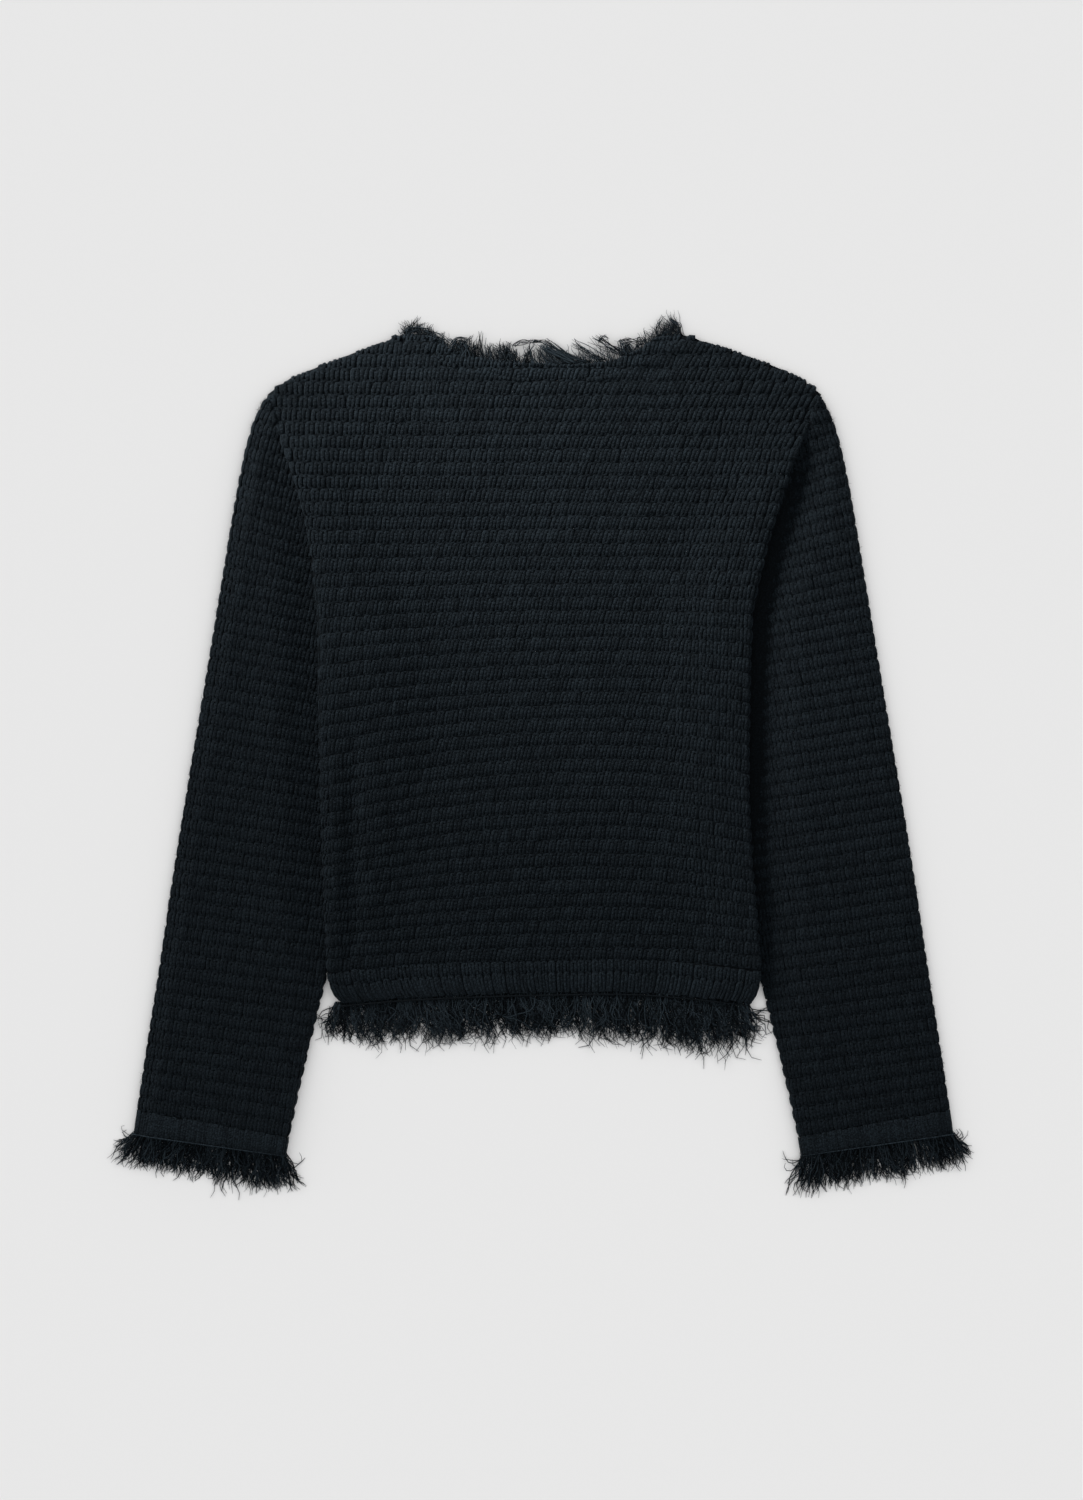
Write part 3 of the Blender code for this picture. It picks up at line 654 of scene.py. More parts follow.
# %% The stitch
Step = namedtuple("Step", "across up rise")  # in stitches, rows and millimetres
LOOP = (
    Step(0.25, 0.34, 0.10),
    Step(0.25, 0.72, 0.15),
    Step(0.22, 0.93, -0.95),
    Step(-0.22, 0.93, -0.95),
    Step(-0.25, 0.72, 0.15),
    Step(-0.25, 0.34, 0.10),
    Step(-0.22, 0.06, -1.20),
    Step(0.22, 0.06, -1.20),
)
YARN = 1.78  # radius of the yarn in a loop
CREST = 0.35  # how far the crests stand above the solid
SECTION = ((0.95, -0.15), (0.48, 0.55), (-0.48, 0.55), (-0.95, -0.15))  # of a flattened yarn: across, out

bpy.ops.object.select_all(action="DESELECT")
bpy.ops.mesh.primitive_torus_add(major_segments=len(LOOP), minor_segments=len(SECTION),
                                 major_radius=1, minor_radius=0.3)
pattern = bpy.context.object
RING_FACES = np.array([p.vertices[:] for p in pattern.data.polygons])
bpy.data.objects.remove(pattern, do_unlink=True)
print("A stitch has", len(RING_FACES), "faces")


def joined_mesh(name, points, faces, yarn):
    """One mesh of many like parts: points (parts, points, 3) in millimetres, and the faces of one part."""
    parts, count = points.shape[:2]
    corners = faces.shape[1]
    origin = points.mean(axis=1, keepdims=True)
    a, b, c, d = (points[:, faces[:, k]] - origin for k in range(4))
    volume = (a * (np.cross(b, c) + np.cross(c, d))).sum(axis=(1, 2))
    every = faces[None] + (np.arange(parts) * count)[:, None, None]
    every = np.where(volume[:, None, None] < 0, every[:, :, ::-1], every).reshape(-1, corners)
    mesh = bpy.data.meshes.new(name)
    mesh.vertices.add(parts * count)
    mesh.vertices.foreach_set("co", (points * MM).ravel())
    mesh.loops.add(every.size)
    mesh.loops.foreach_set("vertex_index", every.ravel())
    mesh.polygons.add(len(every))
    mesh.polygons.foreach_set("loop_start", np.arange(len(every)) * corners)
    mesh.update(calc_edges=True)
    mesh.validate()
    layer = mesh.attributes.new("yarn", "FLOAT_VECTOR", "POINT")
    layer.data.foreach_set("vector", yarn.astype(np.float32).ravel())
    made = bpy.data.objects.new(name, mesh)
    bpy.context.scene.collection.objects.link(made)
    return made


def unit(v):
    return v / np.maximum(np.linalg.norm(v, axis=-1, keepdims=True), 1e-9)


# %% [markdown]
# ## Rows of stitches
#
# The stitches lean a little, as hand-knitting does, and no two are quite alike: the width, the slant, the
# place and the height of each one are drawn by chance. An Array modifier would repeat one stitch without
# that, and in straight rows. The yarn is thicker where the legs are further apart, and it is pressed flat
# where `puff` is low.

# %% Rows of stitches
WIDTH_CHANCE, TALL_CHANCE, TILT_CHANCE = 0.07, 0.04, 0.10  # how far stitches differ in shape
ACROSS_CHANCE, UP_CHANCE = 0.10, 0.03  # how far they are out of place, in legs and rows
RISE_CHANCE, STEP_CHANCE = 0.14, 0.10  # how far a stitch and each of its steps are off in height


def loops(name, cloth, first_leg, last_leg, rows, lean, seed,
          yarn=YARN, steps=LOOP, relief=1.0, puff=1.0, mess=1.0, calm=0.0):
    """The stitches of a cloth: a loop for every second leg and for every row, calmer in the first legs."""
    rng = np.random.default_rng(seed)
    centres = np.arange(first_leg, last_leg + 0.01, 2.0)
    u0, row0 = (a.ravel() for a in np.meshgrid(centres, np.arange(*rows), indexing="ij"))
    f, v = cloth.place(u0, row0 + 0.5)
    low, high, legs = read_evenly(cloth.low, f), read_evenly(cloth.high, f), read_evenly(cloth.legs, v)
    inside = (row0 + 0.75 > low) & (row0 + 0.15 < high) & (u0 < legs + 0.6)
    u0, row0 = u0[inside], row0[inside]
    count = len(u0)
    across, up, rise = (np.array([getattr(s, k) for s in steps])[None] for k in Step._fields)
    chances = mess * rng.standard_normal((6, count, 1))
    wide = 2 * (1 + WIDTH_CHANCE * chances[0])
    tilt = lean(u0, row0)[:, None] + TILT_CHANCE * chances[1]
    u = u0[:, None] + across * wide + 2 * tilt * (up - 0.5) + ACROSS_CHANCE * chances[2]
    row = row0[:, None] + up * (1 + TALL_CHANCE * chances[3]) + UP_CHANCE * chances[4]
    centre, normal = cloth.at(u, row)
    uneven = rise + RISE_CHANCE * chances[5] + STEP_CHANCE * rng.standard_normal(u.shape)
    lift = CREST - 0.55 * puff * yarn + relief * np.where(u0 < calm, 0.3, 1.0)[:, None] * uneven
    centre = centre + normal * lift[..., None]
    along = unit(np.roll(centre, -1, axis=1) - np.roll(centre, 1, axis=1))
    side = unit(np.cross(along, normal))
    pitch = read_evenly(cloth.pitch, v[inside])
    thick = yarn * np.clip(pitch / LEG, 0.8, 1.4) * (1 + 0.06 * rng.standard_normal(count))
    thick = thick[:, None, None] * (1 + 0.05 * rng.standard_normal(u.shape))[..., None]
    ring = [centre + thick * (a * side + puff * b * normal) for a, b in SECTION]
    points = np.stack(ring, axis=2).reshape(count, -1, 3)
    points[..., 2] = np.maximum(points[..., 2], FLOOR_GAP)
    length = np.cumsum(np.linalg.norm(np.diff(centre, axis=1, prepend=centre[:, -1:]), axis=2), axis=1)
    chance = rng.random((count, 2))[:, (np.array([s.across for s in steps]) > 0).astype(int)]
    turns = [k / len(SECTION) for k in range(len(SECTION))]
    yarn_data = np.stack([np.stack([length, np.full(u.shape, t), chance], -1) for t in turns], axis=2)
    made = joined_mesh(name, points, RING_FACES, yarn_data)
    print(name, "has", count, "stitches,", 2 * len(RING_FACES) * count, "triangles")
    return made


# %% [markdown]
# ## Strands and stray fibres
#
# A strand is a four-sided tube along a line of points, thinner at its tip. The fringe is made of them,
# and so is the fuzz on the knit: short stray fibres that stand out of the yarn at all angles, soften its
# outline and catch the light as fine specks.

# %% The strand
def tube_faces(count):
    """The faces of a four-sided tube with so many rings, and its two ends."""
    ring = np.arange(count - 1)[:, None] * 4
    k, after = np.arange(4)[None], (np.arange(4)[None] + 1) % 4
    sides = np.stack([ring + k, ring + after, ring + 4 + after, ring + 4 + k], axis=2)
    last = (count - 1) * 4 + np.arange(4)
    return np.concatenate([sides.reshape(-1, 4), [[3, 2, 1, 0]], last[None]])


def strand_mesh(name, lines, radius, rng):
    """Strands along lines (strands, points, 3) in millimetres, each thinner towards its end."""
    count, rings = lines.shape[:2]
    along = unit(np.gradient(lines, axis=1))
    side = unit(np.cross(along, (0.0, 0.0, 1.0)))
    up = np.cross(side, along)
    taper = np.interp(np.linspace(0, 1, rings), (0, 0.75, 1), (1, 0.85, 0.35))
    thick = (radius * rng.uniform(0.65, 1.35, count))[:, None, None] * taper[None, :, None]
    turns = [(k + 0.5) * math.pi / 2 for k in range(4)]
    ring = [lines + thick * (math.cos(t) * side + math.sin(t) * up) for t in turns]
    points = np.stack(ring, axis=2)
    points[..., 2] = np.maximum(points[..., 2], FLOOR_GAP)
    length = np.cumsum(np.linalg.norm(np.diff(lines, axis=1, prepend=lines[:, :1]), axis=2), axis=1)
    chance = np.repeat(rng.random(count)[:, None], rings, axis=1)
    yarn = np.stack([np.stack([length, np.full(length.shape, k / 4), chance], -1) for k in range(4)], axis=2)
    made = joined_mesh(name, points.reshape(count, -1, 3), tube_faces(rings), yarn.reshape(count, -1, 3))
    print(name, "has", count, "strands,", 2 * len(tube_faces(rings)) * count, "triangles")
    return made


FIBRE, FIBRE_LENGTH = 0.13, (2.0, 5.0)  # radius, and shortest and longest
BACK_FIBRES, SLEEVE_FIBRES = 4500, 2600


def stray_fibres(name, cloth, count, seed):
    """Short bent fibres all over a cloth, each starting in the yarn."""
    rng = np.random.default_rng(seed)
    f, v = rng.random(count), rng.random(count)
    root, normal = cloth.read(cloth.points, f, v), cloth.read(cloth.normal, f, v)
    turn = rng.uniform(0, 2 * math.pi, (count, 1))
    side = unit(np.cross(normal, (0.0, 1.0, 0.0)))
    heading = np.cos(turn) * side + np.sin(turn) * np.cross(normal, side)
    half = rng.uniform(*FIBRE_LENGTH, (count, 1)) / 2
    start = root + normal * (CREST - 0.5)
    middle = start + heading * half + normal * rng.uniform(0.3, 1.1, (count, 1))
    end = middle + unit(heading + 0.7 * rng.standard_normal((count, 3))) * half
    return strand_mesh(name, np.stack([start, middle, end], axis=1), FIBRE, rng)


# %% [markdown]
# ## The rows of the back
#
# The back is one panel from the hem band to the shoulders. Rows are 10.75 mm apart, and they are
# straight near the neck but sag at both sides lower down, because the knit hangs from the shoulders.
# `SAG` is that fall: nothing near the middle, and steep near the edges. A row is counted by the height
# that it would have without the sag.

# %% The rows of the back
ROW = 10.75  # height of a row
LEG = 3.05  # distance between two legs in the middle of the body
SAG_CENTRE = 42.0  # the highest point of a row, right of the middle
Sag = namedtuple("Sag", "reach depth")
SAG = {"left": Sag(216.0, 23.0), "right": Sag(128.0, 15.0)}
SAG_POWER = 2.2
SAG_NONE, SAG_ALL = 0.74, 0.22  # shares of the body's height where the sag starts and where it is full
SAG_AT_BAND = 0.42  # the share of the sag that is left where the rows meet the hem band
LEAN = math.tan(math.radians(16.5))

body_low, body_high = (np.array(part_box("back")[k]) / MM for k in (0, 1))


def row_height(x, y):
    """The height that a point's row would have if it were straight."""
    share = (y - body_low[1]) / (body_high[1] - body_low[1])
    amount = soft_step((SAG_NONE - share) / (SAG_NONE - SAG_ALL))
    amount = amount * (SAG_AT_BAND + (1 - SAG_AT_BAND) * soft_step(share / SAG_ALL))
    off = x - SAG_CENTRE
    left, right = (SAG[n].depth * np.abs(off / SAG[n].reach) ** SAG_POWER for n in ("left", "right"))
    return y + np.where(off < 0, left, right) * amount


def row_count(points):
    """The row of each point, counted from the back's lower edge."""
    return (row_height(points[..., 0], points[..., 1]) - body_low[1]) / ROW


def all_rows(cloth):
    return math.floor(cloth.low.min()), math.ceil(cloth.high.max()) + 1


def body_lean(legs):
    """The slant of the stitches, in stitch widths for each row: less near the right-hand side."""
    def lean(u, row):
        share = u / legs
        slant = LEAN * ROW / (2 * LEG)
        return slant * (0.75 + 0.25 * soft_step(share / 0.3)) * (1 - 0.65 * soft_step((share - 0.74) / 0.2))
    return lean


# %% [markdown]
# ## The back
#
# The cloth sinks towards its side edges, and a few soft creases run over it, as troughs and as ridges.
# A bump in the material could only shade them. They are pressed into the surface before the loops are
# laid, so the knit follows them. The wool's stray fibres are laid last.

# %% The back panel
BODY_LEGS = 120
ARMHOLE_FOLD = 245.0  # height where the side folds begin, below the shoulders' tips
NECK_HALF = 119.0
Sink = namedtuple("Sink", "width heights depths")  # how far the body's edges sink, by height
SINK = {"left": Sink(15.0, (-180, -120, 0, 120, 200, 260), (0.3, 1.4, 2.4, 2.8, 2.4, 0.0)),
        "right": Sink(14.0, (-180, -120, 0, 120, 200, 260), (0.3, 0.6, 0.8, 0.8, 0.6, 0.0))}
Crease = namedtuple("Crease", "x0 y0 x1 y1 width depth")  # a ridge has a depth below 0
CREASES = (Crease(-151, 40, -153, -205, 8.5, 3.6), Crease(-167, 20, -168, -210, 7, -1.8),
           Crease(134, -60, 128, -160, 12, 1.0),
           Crease(-60, 262, -150, 236, 14, 0.8), Crease(66, 299, 124, 322, 5, 1.3))


def crease_depth(x, y):
    """Soft troughs and ridges along lines, which fade out towards their ends."""
    deep = np.zeros_like(x)
    for c in CREASES:
        reach = math.hypot(c.x1 - c.x0, c.y1 - c.y0)
        ux, uy = (c.x1 - c.x0) / reach, (c.y1 - c.y0) / reach
        t = ((x - c.x0) * ux + (y - c.y0) * uy) / reach
        off = (x - c.x0) * uy - (y - c.y0) * ux
        deep = deep + c.depth * soft_step(t / 0.3) * soft_step((1 - t) / 0.3) * np.exp(-(off / c.width) ** 2)
    return deep


def side_fold(y):
    """Radius of the body's side folds: there is none along the armholes, where the sleeves go on."""
    return FOLD * soft_step((ARMHOLE_FOLD - y) / 40)


def shoulder_fold(x):
    """Radius of the fold along the shoulders: there is none along the neck, where the band goes on."""
    return FOLD * soft_step((np.abs(x) - NECK_HALF) / 12)


def edge_slope(x, y):
    """How far the cloth sinks towards the body's side folds, in soft and uneven troughs."""
    deep = np.zeros_like(x)
    for name, side in SIDES.items():
        line = body_side[name]
        inside = (np.interp(y, line[0], line[1]) - x) * side
        along = np.interp(y, SINK[name].heights, SINK[name].depths)
        deep = deep + along * np.clip(1 - inside / SINK[name].width, 0, 1) ** 2
    return deep


body_tris = triangles("back")
foot = {"left": corner(body_tris, -0.3, -1), "right": corner(body_tris, 0.3, -1)}
tips = {"left": corner(body_tris, -1, 0.3), "right": corner(body_tris, 1, 0.3)}
body_side = {n: edge(body_tris, foot[n], tips[n], 1, int(s > 0)) for n, s in SIDES.items()}
back_points = panel_points("back", 281, 381, sides=side_fold, top=shoulder_fold)
back_points[..., 2] -= edge_slope(back_points[..., 0], back_points[..., 1])
back_points[..., 2] -= crease_depth(back_points[..., 0], back_points[..., 1])
back = Cloth(back_points, BODY_LEGS, row_count(back_points))
back_ground = back.points - GROUND_DEPTH * back.normal
add_ground("back", back_ground[::4, ::4])
knit_back = loops("back_knit", back, 0.0, BODY_LEGS, all_rows(back), body_lean(BODY_LEGS), seed=11,
                  relief=0.95, puff=0.85, mess=0.9)
finish_piece(knit_back, "loop_wool")
fuzz_back = stray_fibres("back_fuzz", back, BACK_FIBRES, seed=12)
finish_piece(fuzz_back, "loop_wool")

# %% [markdown]
# ## The surface of a sleeve
#
# A sleeve is one piece of cloth, joined along its underside seam into a flattened tube. It is open at
# the armhole, where it is sewn to the back and the front. Beside the body it sinks into a groove, deep on
# the right and shallow on the left, and at the armhole it climbs to the body again. Its rows run down
# towards the body, more so near the shoulder.

# %% The sleeves' surface
SIDE_WRAP = 2.6  # how far below the middle of the outer fold the loops go
# Each of these two tables gives values at ways up the outer fold from the cuff, in millimetres.
ROW_TILT = ((0, 10.4), (50, 8.0), (165, 8.4), (285, 10), (405, 11), (490, 17))  # in degrees
LEG_PITCH = ((0, 2.9), (250, 2.95), (330, 3.0), (405, 3.15), (490, 3.4), (580, 3.6))
Trough = namedtuple("Trough", "flat rise heights depths swell")  # how wide it is flat and how wide it rises
TROUGH = {"left": Trough(0.0, 40.0, (-190, -120, 0, 120, 215, 268), (0.0, 2.4, 4.0, 5.2, 5.0, -3.5), 4.2),
          "right": Trough(4.0, 42.0, (-190, -120, 0, 120, 222, 270), (2.6, 5.4, 6.6, 6.8, 6.4, -3.0), 1.2)}
SEAM_RISE = 5.0  # the sleeve climbs to the body over this distance from the armhole's seam
SLEEVE_TIP = 2.5  # the rows stop this far below the shoulder's tip


def by_way(table, way):
    return np.interp(way, *zip(*table))


def sleeve_sink(x, y, side):
    """How far a sleeve sinks beside the body, in a soft trough, and swells away from it. x is mirrored."""
    name = "left" if side < 0 else "right"
    line, trough = body_side[name], TROUGH[name]
    outside = x - np.interp(y, line[0], line[1] * side)
    deep = np.interp(y, trough.heights, trough.depths)
    near = soft_step(1 - np.maximum(outside - trough.flat, 0) / trough.rise)
    near = near * np.where(deep < 0, soft_step((outside + 6) / 6), 1.0)
    return deep * near - trough.swell * soft_step((outside - trough.flat) / 34)


def half_section(share, wide, inner_fold):
    """Across and up, for a share of the way from the outer fold over the top (under it if negative)."""
    wide = np.maximum(wide, FOLD + inner_fold)
    q, q_in = math.pi / 2 * FOLD, math.pi / 2 * inner_fold
    total = q + wide - FOLD - inner_fold + q_in
    walk = np.abs(share) * total
    back = total - walk
    across = np.where(walk < q, FOLD * (1 - np.cos(walk / FOLD)), walk - q + FOLD)
    up = FOLD * np.sin(np.minimum(walk, q) / FOLD)
    turn = back / np.maximum(inner_fold, 1e-6)
    across = np.where(back < q_in, wide - inner_fold * (1 - np.cos(turn)), across)
    up = np.where(back < q_in, FOLD - inner_fold * (1 - np.sin(turn)), up)
    return across, up * np.sign(share), total


# %% [markdown]
# ## A flattened tube
#
# A sleeve could start as a cylinder pressed flat, but then its rows would run level, and its folds would
# come out sharp. So a table of points goes over the top of the tube, round the outer fold and back
# underneath. The loops need only its upper part, and the ground needs all of it, a little further in.

# %% Tubes
def tube_points(outer, inner, inner_fold, share, side, inset=0.0):
    """Points round a flattened tube between two lines in plan, each of shape (rows, 2)."""
    gap = inner - outer
    wide = np.linalg.norm(gap, axis=1)
    across, up, total = half_section(share, wide[None], inner_fold[None])
    across = np.minimum(across, wide)
    ratio = inset + across * (wide - inset * (1 + inner_fold / FOLD)) / wide
    ratio = ratio[..., None] / wide[None, :, None]
    plan = outer[None] + gap[None] * ratio
    high = np.where(up > 0, up * (1 - GROUND_DEPTH * (inset > 0) / FOLD), up * (1 - 0.03))
    trough = np.where(up > 0, sleeve_sink(plan[..., 0], plan[..., 1], side), 0.0)
    seam = (1 - inner_fold / FOLD) * (1 - soft_step((wide - across) / SEAM_RISE))  # sewn up to the body
    full = np.clip(up / FOLD, 0, 1) * np.where(trough < 0, soft_step(across / 16), 1 - seam)
    level = FOLD + high - trough * full
    if inset:  # the upper wall stays above the floor where the sleeve is pressed flat
        level = np.where(up > 0, np.maximum(level, GROUND_WALL + 0.1), level)
    return np.stack([plan[..., 0] * side, plan[..., 1], level], axis=2), total[0]


def sleeve_lines(node, side, rows):
    """The ends of the sleeve's rows on its outer fold and on its inner edge, and the way up to each."""
    tris = triangles(node) * (side, 1.0, 1.0)
    cuff_out, cuff_in = corner(tris, 1, -0.3), corner(tris, -0.3, -1)
    tip = corner(tris, 0.3, 1)
    ys, reach = edge(tris, cuff_out, tip, 1, 1)
    far = np.concatenate([[0], np.cumsum(np.hypot(np.diff(ys), np.diff(reach)))])
    way = np.linspace(0, far[-1] - SLEEVE_TIP, rows)
    outer = np.stack([np.interp(way, far, reach), np.interp(way, far, ys)], axis=1)
    in_y, in_x = edge(tris, cuff_in, tip, 1, 0)
    slope = np.tan(np.radians(by_way(ROW_TILT, way)))
    x = np.interp(outer[:, 1], in_y, in_x)
    for _ in range(12):
        x = np.interp(outer[:, 1] - (outer[:, 0] - x) * slope, in_y, in_x)
    inner = np.stack([x, outer[:, 1] - (outer[:, 0] - x) * slope], axis=1)
    underarm = in_y[np.argmin(in_x)]
    return outer, inner, way, FOLD * soft_step((underarm + 50 - inner[:, 1]) / 14)


def no_lean(u, row):
    return np.zeros_like(u)


def tube_cloth(outer, inner, inner_fold, way, side, pitch, row_of, columns=161):
    share = np.linspace(0, 1, columns)[:, None]
    wide = np.linalg.norm(inner - outer, axis=1)
    total = half_section(np.ones((1, 1)), wide[None], inner_fold[None])[2][0]
    below = (SIDE_WRAP / total)[None]
    points, total = tube_points(outer, inner, inner_fold, share * (1 + below) - below, side)
    count = np.broadcast_to(row_of(way)[None], points.shape[:2])
    return Cloth(points, (total + SIDE_WRAP) / pitch, count)


# %% [markdown]
# ## The sleeves
#
# The sleeves look pressed and felted, so their loops are flatter than the body's, and flatter still along
# the outer fold. Loops underneath would never show, so only the ground goes all the way round, and its
# two sides are joined.

# %% The sleeves
FLAT_LOOP = [step._replace(rise=-1.7 if step.rise < 0 else step.rise) for step in LOOP]
SLEEVE_ROWS = 281
ROUND = np.linspace(1, -1, 53)[:, None]  # over the top, round the outer fold and back underneath
for name, side in SIDES.items():
    outer, inner, way, inner_fold = sleeve_lines(f"sleeve_{name}", side, SLEEVE_ROWS)
    cloth = tube_cloth(outer, inner, inner_fold, way, side, by_way(LEG_PITCH, way), lambda w: w / ROW)
    ring, _ = tube_points(outer, inner, inner_fold, ROUND, side, inset=0.5)
    add_ground(f"sleeve_{name}", ring[:, ::4], closed=True, inward=side < 0)
    rows = (0, math.ceil(cloth.high.max()) + 1)
    knit = loops(f"sleeve_{name}_knit", cloth, 1.0, cloth.legs.max(), rows, no_lean, seed=21 + int(side),
                 yarn=1.85, steps=FLAT_LOOP, relief=0.6, puff=0.6, mess=0.8, calm=2.0)
    finish_piece(knit, "shaded_sleeve_wool")
    fuzz = stray_fibres(f"sleeve_{name}_fuzz", cloth, SLEEVE_FIBRES, seed=25 + int(side))
    finish_piece(fuzz, "shaded_sleeve_wool")

# %% [markdown]
# ## The hem band
#
# The body ends in one tall row of ribs below one plain row, knitted tighter and flatter than the back.
# The fringe is tied in under the ribs. A cord of dark yarn lies along the band's lower edge there as a
# painted shadow, the shade that the band casts on the fringe's roots. A rib is the same loop drawn out
# to the height of the band, so the ribs stand in line with the stitches above them.

# %% The hem band
RIB = 16.0  # height of the row of ribs
BAND_DEPTH = 1.2  # of a band's ground below its crests, and the radius of its free edge
RIB_LOOP = (
    Step(0.25, 0.45, 0.10), Step(0.25, 0.82, 0.05), Step(0.15, 0.97, -0.35), Step(-0.15, 0.97, -0.35),
    Step(-0.25, 0.82, 0.05), Step(-0.25, 0.45, 0.10), Step(-0.22, 0.06, -0.35), Step(0.22, 0.06, -0.35),
)
SHADOW_CORD, SHADOW_CORD_POINTS = 0.85, 120  # radius and number of points of the cord of painted shadow
SHADOW_CORD_SHIFT = (0.0, -3.2, -0.9)


def band_rows(height):
    """The row of a place at a height above the band's edge: the ribs, then plain rows."""
    return np.interp(height, (0, RIB, RIB + 4 * ROW), (0, 1, 5))


points = panel_points("hem_band_back", 221, 61, sides=FOLD, bottom=BAND_DEPTH)
lowest = edge(triangles("hem_band_back"), *[points[k, 0, :2] for k in (0, -1)], 0, 0)
above = points[..., 1] - np.interp(points[..., 0], *lowest)
hem = Cloth(points, BODY_LEGS, band_rows(above))
add_ground("hem_band_back", (points - BAND_DEPTH * hem.normal)[::3, ::3])
for name, rows, steps in (("ribs", (0, 1), RIB_LOOP), ("row", (1, 3), LOOP)):
    knit = loops(f"hem_band_back_{name}", hem, 0.0, BODY_LEGS, rows, no_lean, 31, steps=steps, relief=0.8)
    finish_piece(knit, "band_wool")
# painted shadow: a dark cord under the band's lower edge, for the shade the band casts on the fringe's roots
line, _ = hem.at(np.linspace(1.0, BODY_LEGS - 1.0, SHADOW_CORD_POINTS), np.full(SHADOW_CORD_POINTS, 0.12))
painted_shadow_cord = strand_mesh("hem_band_back_painted_shadow", (line + SHADOW_CORD_SHIFT)[None], SHADOW_CORD, np.random.default_rng(47))
finish_piece(painted_shadow_cord, "shaded_backing_wool")

# %% [markdown]
# ## The cuff bands
#
# A cuff is a smooth band of fine ribs that goes all round the sleeve's end, closed by a light chain of
# yarn where it meets the fringe. Grooves in a plain band could stand for the ribs, but real strands keep
# their outline from the side, so each rib is one tall, flat loop, and the chain is one strand.

# %% The cuff bands
CUFF_ROWS = 25  # of points up the band
CUFF_PITCH = 2.1  # distance between two ribs of a cuff
CHAIN, CHAIN_RISE, CHAIN_POINTS = 0.6, 0.9, 60  # the chain's radius, its height on the ribs, its points
FLAT_RIB = [Step(s.across, 1.03 * s.up, 0.0) for s in RIB_LOOP]
for name, side in SIDES.items():
    tris = triangles(f"cuff_band_{name}") * (side, 1.0, 1.0)
    ends = [corner(tris, *way) for way in ((1, -0.3), (1, 0.3), (-0.3, -1), (-1, 0.3))]
    v = np.linspace(0, 1, CUFF_ROWS)[:, None]
    outer, inner = (ends[k] * (1 - v) + ends[k + 1] * v for k in (0, 2))
    way = v[:, 0] * np.linalg.norm(ends[1] - ends[0])
    fold = np.full(CUFF_ROWS, FOLD)
    cloth = tube_cloth(outer, inner, fold, way, side, CUFF_PITCH, lambda w: w / way[-1])
    ring, _ = tube_points(outer, inner, fold, ROUND, side, inset=0.8)
    add_ground(f"cuff_band_{name}", ring[:, ::2], closed=True, inward=side < 0)
    knit = loops(f"cuff_band_{name}_ribs", cloth, 1.0, cloth.legs.max(), (0, 1), no_lean, 41,
                 yarn=1.85, steps=FLAT_RIB, relief=0.3, puff=0.45, mess=0.6)
    finish_piece(knit, "band_wool")
    line, normal = cloth.at(np.linspace(0.5, cloth.legs.max() - 0.5, CHAIN_POINTS), np.zeros(CHAIN_POINTS))
    line = line + CHAIN_RISE * normal
    chain = strand_mesh(f"cuff_band_{name}_edge", line[None], CHAIN, np.random.default_rng(45))
    finish_piece(chain, "edge_wool")

# %% [markdown]
# ## The neck band
#
# The neck band is a narrow crescent between two tips. It carries on the rows and the slant of the back, so
# it isn't made of ribs of its own: it takes the same stitches, counted on from the back's, and no step
# shows between the two.

# %% The neck band
points = panel_points("neck_band_back", 161, 25, top=BAND_DEPTH, crescent=True)
neck_width = points[-1, 0, 0] - points[0, 0, 0]
neck = Cloth(points, neck_width / LEG, row_count(points))
add_ground("neck_band_back", (points - BAND_DEPTH * neck.normal)[::2, ::3])
knit = loops("neck_band_back_ribs", neck, 2.0, neck_width / LEG - 2, all_rows(neck), body_lean(BODY_LEGS), 51)
finish_piece(knit, "band_wool")

# %% [markdown]
# ## The fronts
#
# The two fronts lie face down under the back and nothing shows of them. They are finished plainly: the
# same thin cloth, with its rows as low waves.

# %% Front panels and their bands
WAVE = 0.35  # height of the low waves
FRONT_WALL, FRONT_SINK = 2.0, 0.25  # the cloth's thickness, and how far it lies inside the solid
CREASE_SHARE, CREASE_LIMIT = 0.45, 0.9  # how much of the back's creases the fronts take
FRONT_PIECES = (("front", 13, 189, False), ("hem_band_front", 25, 13, False),
                ("neck_band_front", 25, 7, True))
for name in SIDES:
    for part, columns, rows, crescent in FRONT_PIECES:
        node = f"{part}_{name}"
        points = panel_points(node, columns, rows, crescent=crescent)
        if part == "front":
            points[..., 2] += WAVE * np.cos(2 * math.pi * row_count(points)) - WAVE
            creases = CREASE_SHARE * crease_depth(points[..., 0], points[..., 1])
            points[..., 2] -= np.clip(creases, 0, CREASE_LIMIT)
        points[..., 2] = np.maximum(points[..., 2] - FRONT_SINK, FRONT_WALL + FLOOR_GAP)
        piece = shell(f"{node}_cloth", points, FRONT_WALL)
        finish_piece(piece, "shaded_backing_wool")
        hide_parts(node)

# %% [markdown]
# ## How strands hang
#
# The fringe is cut yarn, untwisted into fine strands. They hang in clumps: each starts inside the band,
# drifts towards the tip of its clump, curls a little and comes down to the floor. Some are cut short, and
# a few are hooked back.

# %% Hanging strands
STRAND = 0.46  # radius of a hanging strand


